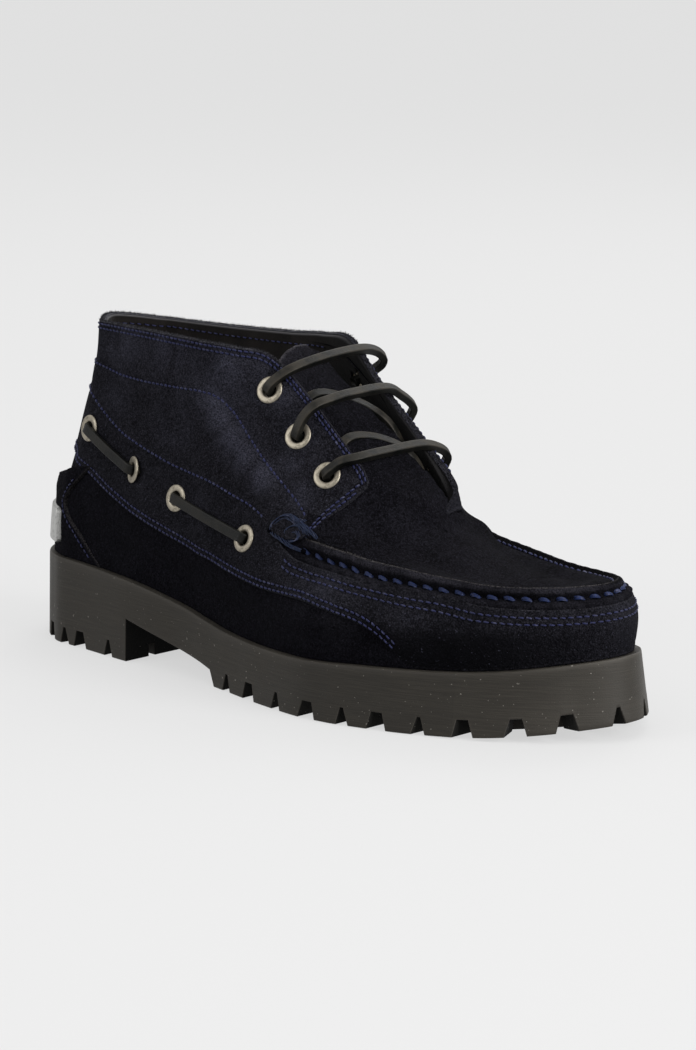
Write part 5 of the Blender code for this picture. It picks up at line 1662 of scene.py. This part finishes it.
# Each bar across the throat, from above the outer eyelet to above the inner one, in millimetres
BARS = (
    ((105.2, -24.4, 117.8), (109.0, -18.4, 122.0), (110.5, -2.4, 124.8), (111.0, 15.6, 125.8),
     (111.5, 24.2, 124.6), (112.0, 28.7, 121.6), (111.0, 29.3, 119.0), (108.8, 28.3, 116.9)),
    ((122.0, -26.6, 105.5), (125.5, -23.7, 110.2), (127.0, -16.0, 111.9), (127.5, -6.6, 112.9),
     (128.0, 12.7, 113.0), (128.5, 21.2, 109.3), (128.8, 27.4, 104.5), (127.3, 27.9, 100.7)),
    ((138.5, -26.6, 89.2), (141.0, -25.5, 91.0), (144.5, -20.5, 92.2), (146.0, -10.0, 93.0),
     (147.0, 11.4, 93.4), (147.5, 21.7, 91.0), (147.8, 26.0, 87.8), (146.2, 26.6, 84.4)),
)
# Each hidden run over the tongue, from the inner side to the outer
DIAGONALS = (((134.5, 15.0, 92.0), (132.8, 13.5, 97.0), (130.6, 11.2, 101.8), (126.8, 8.6, 105.6),
              (122.3, 4.5, 109.0), (118.4, -2.4, 112.0), (116.3, -8.5, 113.6),
              (115.6, -14.2, 113.6), (114.8, -18.0, 111.5)),
             ((147.0, 13.5, 82.0), (145.0, 11.0, 88.5), (141.9, 7.4, 93.3), (138.6, 3.7, 96.0),
              (136.1, -2.0, 98.1), (134.4, -10.1, 99.4), (134.3, -16.5, 98.6),
              (133.6, -19.8, 95.0)))


def through(place, axis, depths):
    """Places on an eyelet's axis, at depths in millimetres above the leather."""
    return [place + axis * depth * MM for depth in depths]


def make_laces(frames):
    """The throat lace's bars and hidden runs, and the side laces."""
    runs = []
    for number, bar in enumerate(BARS, 1):
        near = through(*frames[f"throat_lateral_{number}"], (-5.0, -1.0, 1.8))
        far = through(*frames[f"throat_medial_{number}"], (1.8, -1.0, -5.0))
        line = smooth_through(near + list(np.array(bar) * MM) + far)
        runs.append(strip(line, THROAT_UP, LACE_WIDTH, LACE_THICK))
    for route in DIAGONALS:
        line = smooth_through((np.array(route) - (0.0, 0.0, 1.5)) * MM)
        runs.append(strip(line, THROAT_UP, LACE_WIDTH, LACE_THICK * 0.8))
    join_strips("lace_strip", runs, ["lace"])
    shares = np.array([0.2, 0.4, 0.6, 0.8])
    arch = np.sin(np.pi * shares)
    for inner, label in ((False, "lateral"), (True, "medial")):
        for number, (first, last) in enumerate(((1, 2), (3, 4)), 1):
            (at0, level0), (at1, level1) = SIDE_EYELETS[first - 1], SIDE_EYELETS[last - 1]
            near = through(*frames[f"side_{label}_{first}"], (-4.5, -0.8, 1.6))
            far = through(*frames[f"side_{label}_{last}"], (1.6, -0.8, -4.5))
            centre = ROUND - (at0 + at1) / 2 if inner else (at0 + at1) / 2
            up = upper_normal(np.array([centre]), np.array([level0]))[0]
            # The run arches just enough to clear the leather between its eyelets
            at = at0 + (at1 - at0) * shares
            bed = surface(ROUND - at if inner else at, level0 + (level1 - level0) * shares, 2.6)
            chord = near[-1] + (far[0] - near[-1]) * shares[:, None]
            lift = max(float((((bed - chord) @ up) / arch).max()), 0.8 * MM)
            line = smooth_through(near + list(chord + up * (lift * arch)[:, None]) + far)
            join_strips(f"side_strip_{label}_{number}", [side_strip(line, up)],
                        [f"side_lace_{label}_{number}"])


# --- Sole -----------------------------------------------------------------------------------------
# Millimetres, from the unit's rim down to its lugs
RIM_CHAMFER = 0.9
RIM_INSET = 0.6
LUG_DEPTH = 6.5
BREAST_X = 35.7
# The arch: the underside between the heel and the tread, as x and height
ARCH = ((BREAST_X, 17.0), (52.0, 13.6), (66.0, 10.8), (82.0, 7.6), (88.5, 6.0), (91.8, 0.0))
# Notches in the tread's edge: station, and half widths at the floor and at the root
WIDE, NARROW = (4.2, 2.3), (2.8, 0.7)
SIDE_NOTCHES = ((1.0, NARROW), (1.95, WIDE), (2.76, NARROW), (3.16, WIDE), (3.68, NARROW),
                (7.03, NARROW), (7.76, WIDE), (8.5, NARROW), (9.43, WIDE), (11.03, NARROW),
                (11.7, WIDE), (12.42, NARROW), (13.2, WIDE))
TOE_NOTCHES = ((14.1, WIDE), (15.0, WIDE), (15.8, NARROW), (16.5, NARROW), (17.2, WIDE),
               (18.0, NARROW))
NOTCHES = SIDE_NOTCHES + tuple((ROUND - at, size) for at, size in SIDE_NOTCHES) + TOE_NOTCHES
NOTCH_LENGTH = 14.6
# The channel inside the lugs: where it starts and ends in from the edge, and its depth
CHANNEL = (13.0, 16.5, 5.0)
# The cross grooves: their places, then half their width and their depth
CROSS_GROOVES_X = (112.0, 129.0, 146.0, 163.0, 180.0, 197.0, 214.0, 231.0)
CROSS_GROOVE = (1.75, 4.6)


def ring_speed(at):
    """Millimetres along the sole's edge per station."""
    x, y = sole_ring(np.array([at - 0.01, at + 0.01]))
    return math.hypot(x[1] - x[0], y[1] - y[0]) / 0.02


def sole_columns():
    """Stations of the sole's columns: even ones, and one at every corner of notch and arch."""
    exact = []
    for at, (mouth, root) in NOTCHES:
        speed = ring_speed(at)
        exact += [at - mouth / speed, at - root / speed, at + root / speed, at + mouth / speed]
    fine = np.linspace(3.0, 9.0, 4001)
    plan = rib_x(fine)
    corners = [float(np.interp(x, plan, fine)) for x, _ in ARCH]
    corners += [corners[0] - 0.0005]
    exact += corners + [ROUND - at for at in corners]
    exact = np.array(exact) % ROUND
    even = np.arange(1000) * ROUND / 1000
    apart = np.abs(even[:, None] - exact[None]).min(1)
    return np.sort(np.concatenate([even[apart > 0.006], exact]))


def tread_height(at, inset, x):
    """How far the sole's underside is above the floor, in millimetres."""
    height = np.zeros(np.broadcast(at, inset, x).shape)
    for station, (mouth, root) in NOTCHES:
        along = from_heel(at - station) * ring_speed(station)
        cut = LUG_DEPTH * np.clip((mouth - along) / (mouth - root), 0.0, 1.0)
        height = np.maximum(height, cut * (inset < NOTCH_LENGTH))
    start, end, deep = CHANNEL
    height = np.where((inset > start) & (inset < end), np.maximum(height, deep), height)
    half, deep = CROSS_GROOVE
    for middle in CROSS_GROOVES_X:
        groove = deep * np.clip((half + 0.4 - np.abs(x - middle)) / 0.8, 0.0, 1.0)
        height = np.maximum(height, groove * (inset >= end))
    height = height + spring(x)
    arch_x, arch_z = zip(*ARCH)
    arch = np.interp(x, arch_x, arch_z) * (x > BREAST_X - 0.005)
    return np.maximum(height, arch)


def in_notch(at):
    """Which stations lie in a notch, its mouth's corners included."""
    inside = np.zeros(at.shape)
    for station, (mouth, _) in NOTCHES:
        along = from_heel(at - station) * ring_speed(station)
        inside = np.maximum(inside, along < mouth + 0.02)
    return inside


def make_sole():
    """The rubber unit: a rim with a worn lip, brushed walls, and the notched tread."""
    at = sole_columns()
    columns = len(at)
    edge_x, edge_y = sole_ring(at)
    radius = np.hypot(edge_x - rib_x(at), edge_y)
    rim = rim_height(at)
    out = flare(at)
    shoulder = rim - RIM_CHAMFER
    low = tread_height(at, np.full(columns, 0.5), edge_x) - spring(edge_x)
    away = from_heel(at)
    worn = 0.28 + 0.9 * smooth_step(-away, -2.6, -1.2) + 0.5 * smooth_step(away, 13.5, 15.0)
    rows = [(radius, (rim + rim_height(ROUND - at)) / 2, 0.0), (out + RIM_INSET + 6.0, rim, 0.0),
            (out + RIM_INSET, rim, worn * 0.6), (out + 0.22, rim - 0.24, worn),
            (out, shoulder, worn * 0.6)]
    # Painted light: the toe's wall is made paler, the more so towards the floor
    toe_highlight = 0.22 * smooth_step(away, 13.6, 15.2)
    for share in (0.05, 0.13, 0.24, 0.36, 0.48, 0.60, 0.72, 0.84, 0.93):
        height = shoulder + (low + 0.5 - shoulder) * share
        mark = worn * 0.25 if share < 0.06 else toe_highlight * (0.6 + 0.6 * share)
        rows.append((out * height / shoulder, height, mark))
    for into, up, mark in ((0.0, 0.5, 0.15), (0.14, 0.14, 0.5), (0.5, 0.0, 0.2)):
        rows.append((out * low / shoulder + into, low + up, mark))
    insets = np.stack([row[0] for row in rows], 1)
    heights = np.stack([row[1] for row in rows], 1)
    marks = np.stack([np.broadcast_to(row[2], (columns,)) for row in rows], 1)
    under = [np.full(columns, inset)
             for inset in (2.0, 6.0, 10.0, 12.98, 13.02, 14.58, 14.62, 16.48, 16.52)]
    under += [16.52 + (radius - 16.52) * share for share in np.linspace(0, 1, 15)[1:]]
    under = np.stack(under, 1)
    x, y = sole_ring(at[:, None], np.concatenate([insets, under], 1))
    upper_rows = insets.shape[1]
    lift = heights + spring(x[:, :upper_rows])
    plan = x[:, upper_rows:]
    tread = tread_height(at[:, None], under, plan)
    points = to_metres(x, y, np.concatenate([lift, tread], 1))
    # Painted shade: near black under the arch and on the breast, dark in notches, darker by the
    # ball
    painted_under_shade = np.where((plan > BREAST_X - 0.05) & (plan < ARCH[-1][0]), -1.0, 0.0)
    painted_under_shade = np.minimum(painted_under_shade, -0.85 * in_notch(at)[:, None] * (under < NOTCH_LENGTH))
    shade = np.concatenate([np.zeros(heights.shape), painted_under_shade], 1)
    ball = smooth_step(away, 8.6, 9.6) * (1.0 - smooth_step(away, 12.4, 13.6))
    shade[:, 3:upper_rows] -= 0.10 * ball[:, None]
    shade[:, upper_rows - 1] = np.minimum(shade[:, upper_rows - 1], shade[:, upper_rows])
    marks = np.concatenate([marks, np.zeros(under.shape)], 1)
    faces = grid_faces(columns, points.shape[1], closed=True, flip=True)
    sole = new_mesh("sole_unit", points.reshape(-1, 3), faces, RUBBER,
                    two_marks(marks, shade), ["outsole"], weld=0.000002)
    sole.data.set_sharp_from_angle(angle=math.radians(30))
    insole_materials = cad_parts["insole"].data.materials
    insole_materials.clear()
    insole_materials.append(LINING)


# --- Studio ---------------------------------------------------------------------------------------
CAMERA_PLACE = (1.1299, -1.0827, 0.3494)
CAMERA_TARGET = (0.058863, 0.065871, 0.042991)
CAMERA_LENS = 135.05
LIGHT_TARGET = (0.1, 0.0, 0.05)
FLOOR_REACH = 30.0
FLOOR_DROP = 0.0002


def make_camera():
    """The camera, from the front right."""
    camera = bpy.data.objects.new("camera", bpy.data.cameras.new("camera"))
    camera.data.sensor_width = 36.0
    camera.data.lens = CAMERA_LENS
    camera.data.clip_end = 60.0
    camera.matrix_world = aimed(CAMERA_PLACE, CAMERA_TARGET)
    bpy.context.scene.collection.objects.link(camera)
    bpy.context.scene.camera = camera


def aimed(place, target):
    """A matrix at place whose -Z looks at target."""
    turn = (Vector(target) - Vector(place)).to_track_quat("-Z", "Y").to_matrix().to_4x4()
    return Matrix.Translation(Vector(place)) @ turn


def make_light(name, place, power):
    """A square soft box aimed at the boot."""
    light = bpy.data.lights.new(name, "AREA")
    light.shape = "SQUARE"
    light.size = 1.0
    light.energy = power
    box = bpy.data.objects.new(name, light)
    box.matrix_world = aimed(place, LIGHT_TARGET)
    bpy.context.scene.collection.objects.link(box)


def make_studio():
    """A plain pale floor under soft light."""
    world = bpy.data.worlds.new("studio")
    world.use_nodes = True
    nodes, links = world.node_tree.nodes, world.node_tree.links
    direction = nodes.new("ShaderNodeTexCoord")
    parts = nodes.new("ShaderNodeSeparateXYZ")
    level = nodes.new("ShaderNodeMapRange")
    links.new(direction.outputs["Generated"], parts.inputs[0])
    links.new(parts.outputs["Z"], level.inputs["Value"])
    for key, value in (("From Min", -0.20), ("From Max", 0.70), ("To Min", 0.12), ("To Max", 1.05)):
        level.inputs[key].default_value = value
    background = nodes["Background"]
    background.inputs["Color"].default_value = (1.0, 1.0, 1.0, 1.0)
    links.new(level.outputs["Result"], background.inputs["Strength"])
    bpy.context.scene.world = world
    bpy.context.scene.view_settings.view_transform = "Standard"
    make_light("key", (1.9, 0.1, 0.75), 38.0)
    make_light("left", (-0.7, -1.6, 0.9), 12.0)
    make_light("back", (-0.4, 1.2, 1.3), 8.0)
    make = Nodes("floor_pale")
    make.finish((0.16, 0.16, 0.16), 1.0, Specular_IOR_Level=0.0, Emission_Color=(1.0, 1.0, 1.0),
                Emission_Strength=0.597)
    mesh = bpy.data.meshes.new("floor")
    sides = ((-1, -1), (1, -1), (1, 1), (-1, 1))
    corners = [(x * FLOOR_REACH, y * FLOOR_REACH, 0) for x, y in sides]
    mesh.from_pydata(corners, [], [(0, 1, 2, 3)])
    mesh.materials.append(make.material)
    floor = bpy.data.objects.new("floor", mesh)
    floor.location.z = -FLOOR_DROP
    floor.visible_diffuse = False
    bpy.context.scene.collection.objects.link(floor)


seam_line, seam_run, lip_row = make_under()
sheet = make_plug()
band = make_band()
quarters = make_quarters()
make_lining()
make_counter()
make_sewing(band, quarters, sheet, lip_row)
make_collar_fibres(quarters)
make_moc_stitches(seam_line, seam_run)
make_knot()
make_laces(make_eyelets())
make_sole()
make_camera()
make_studio()
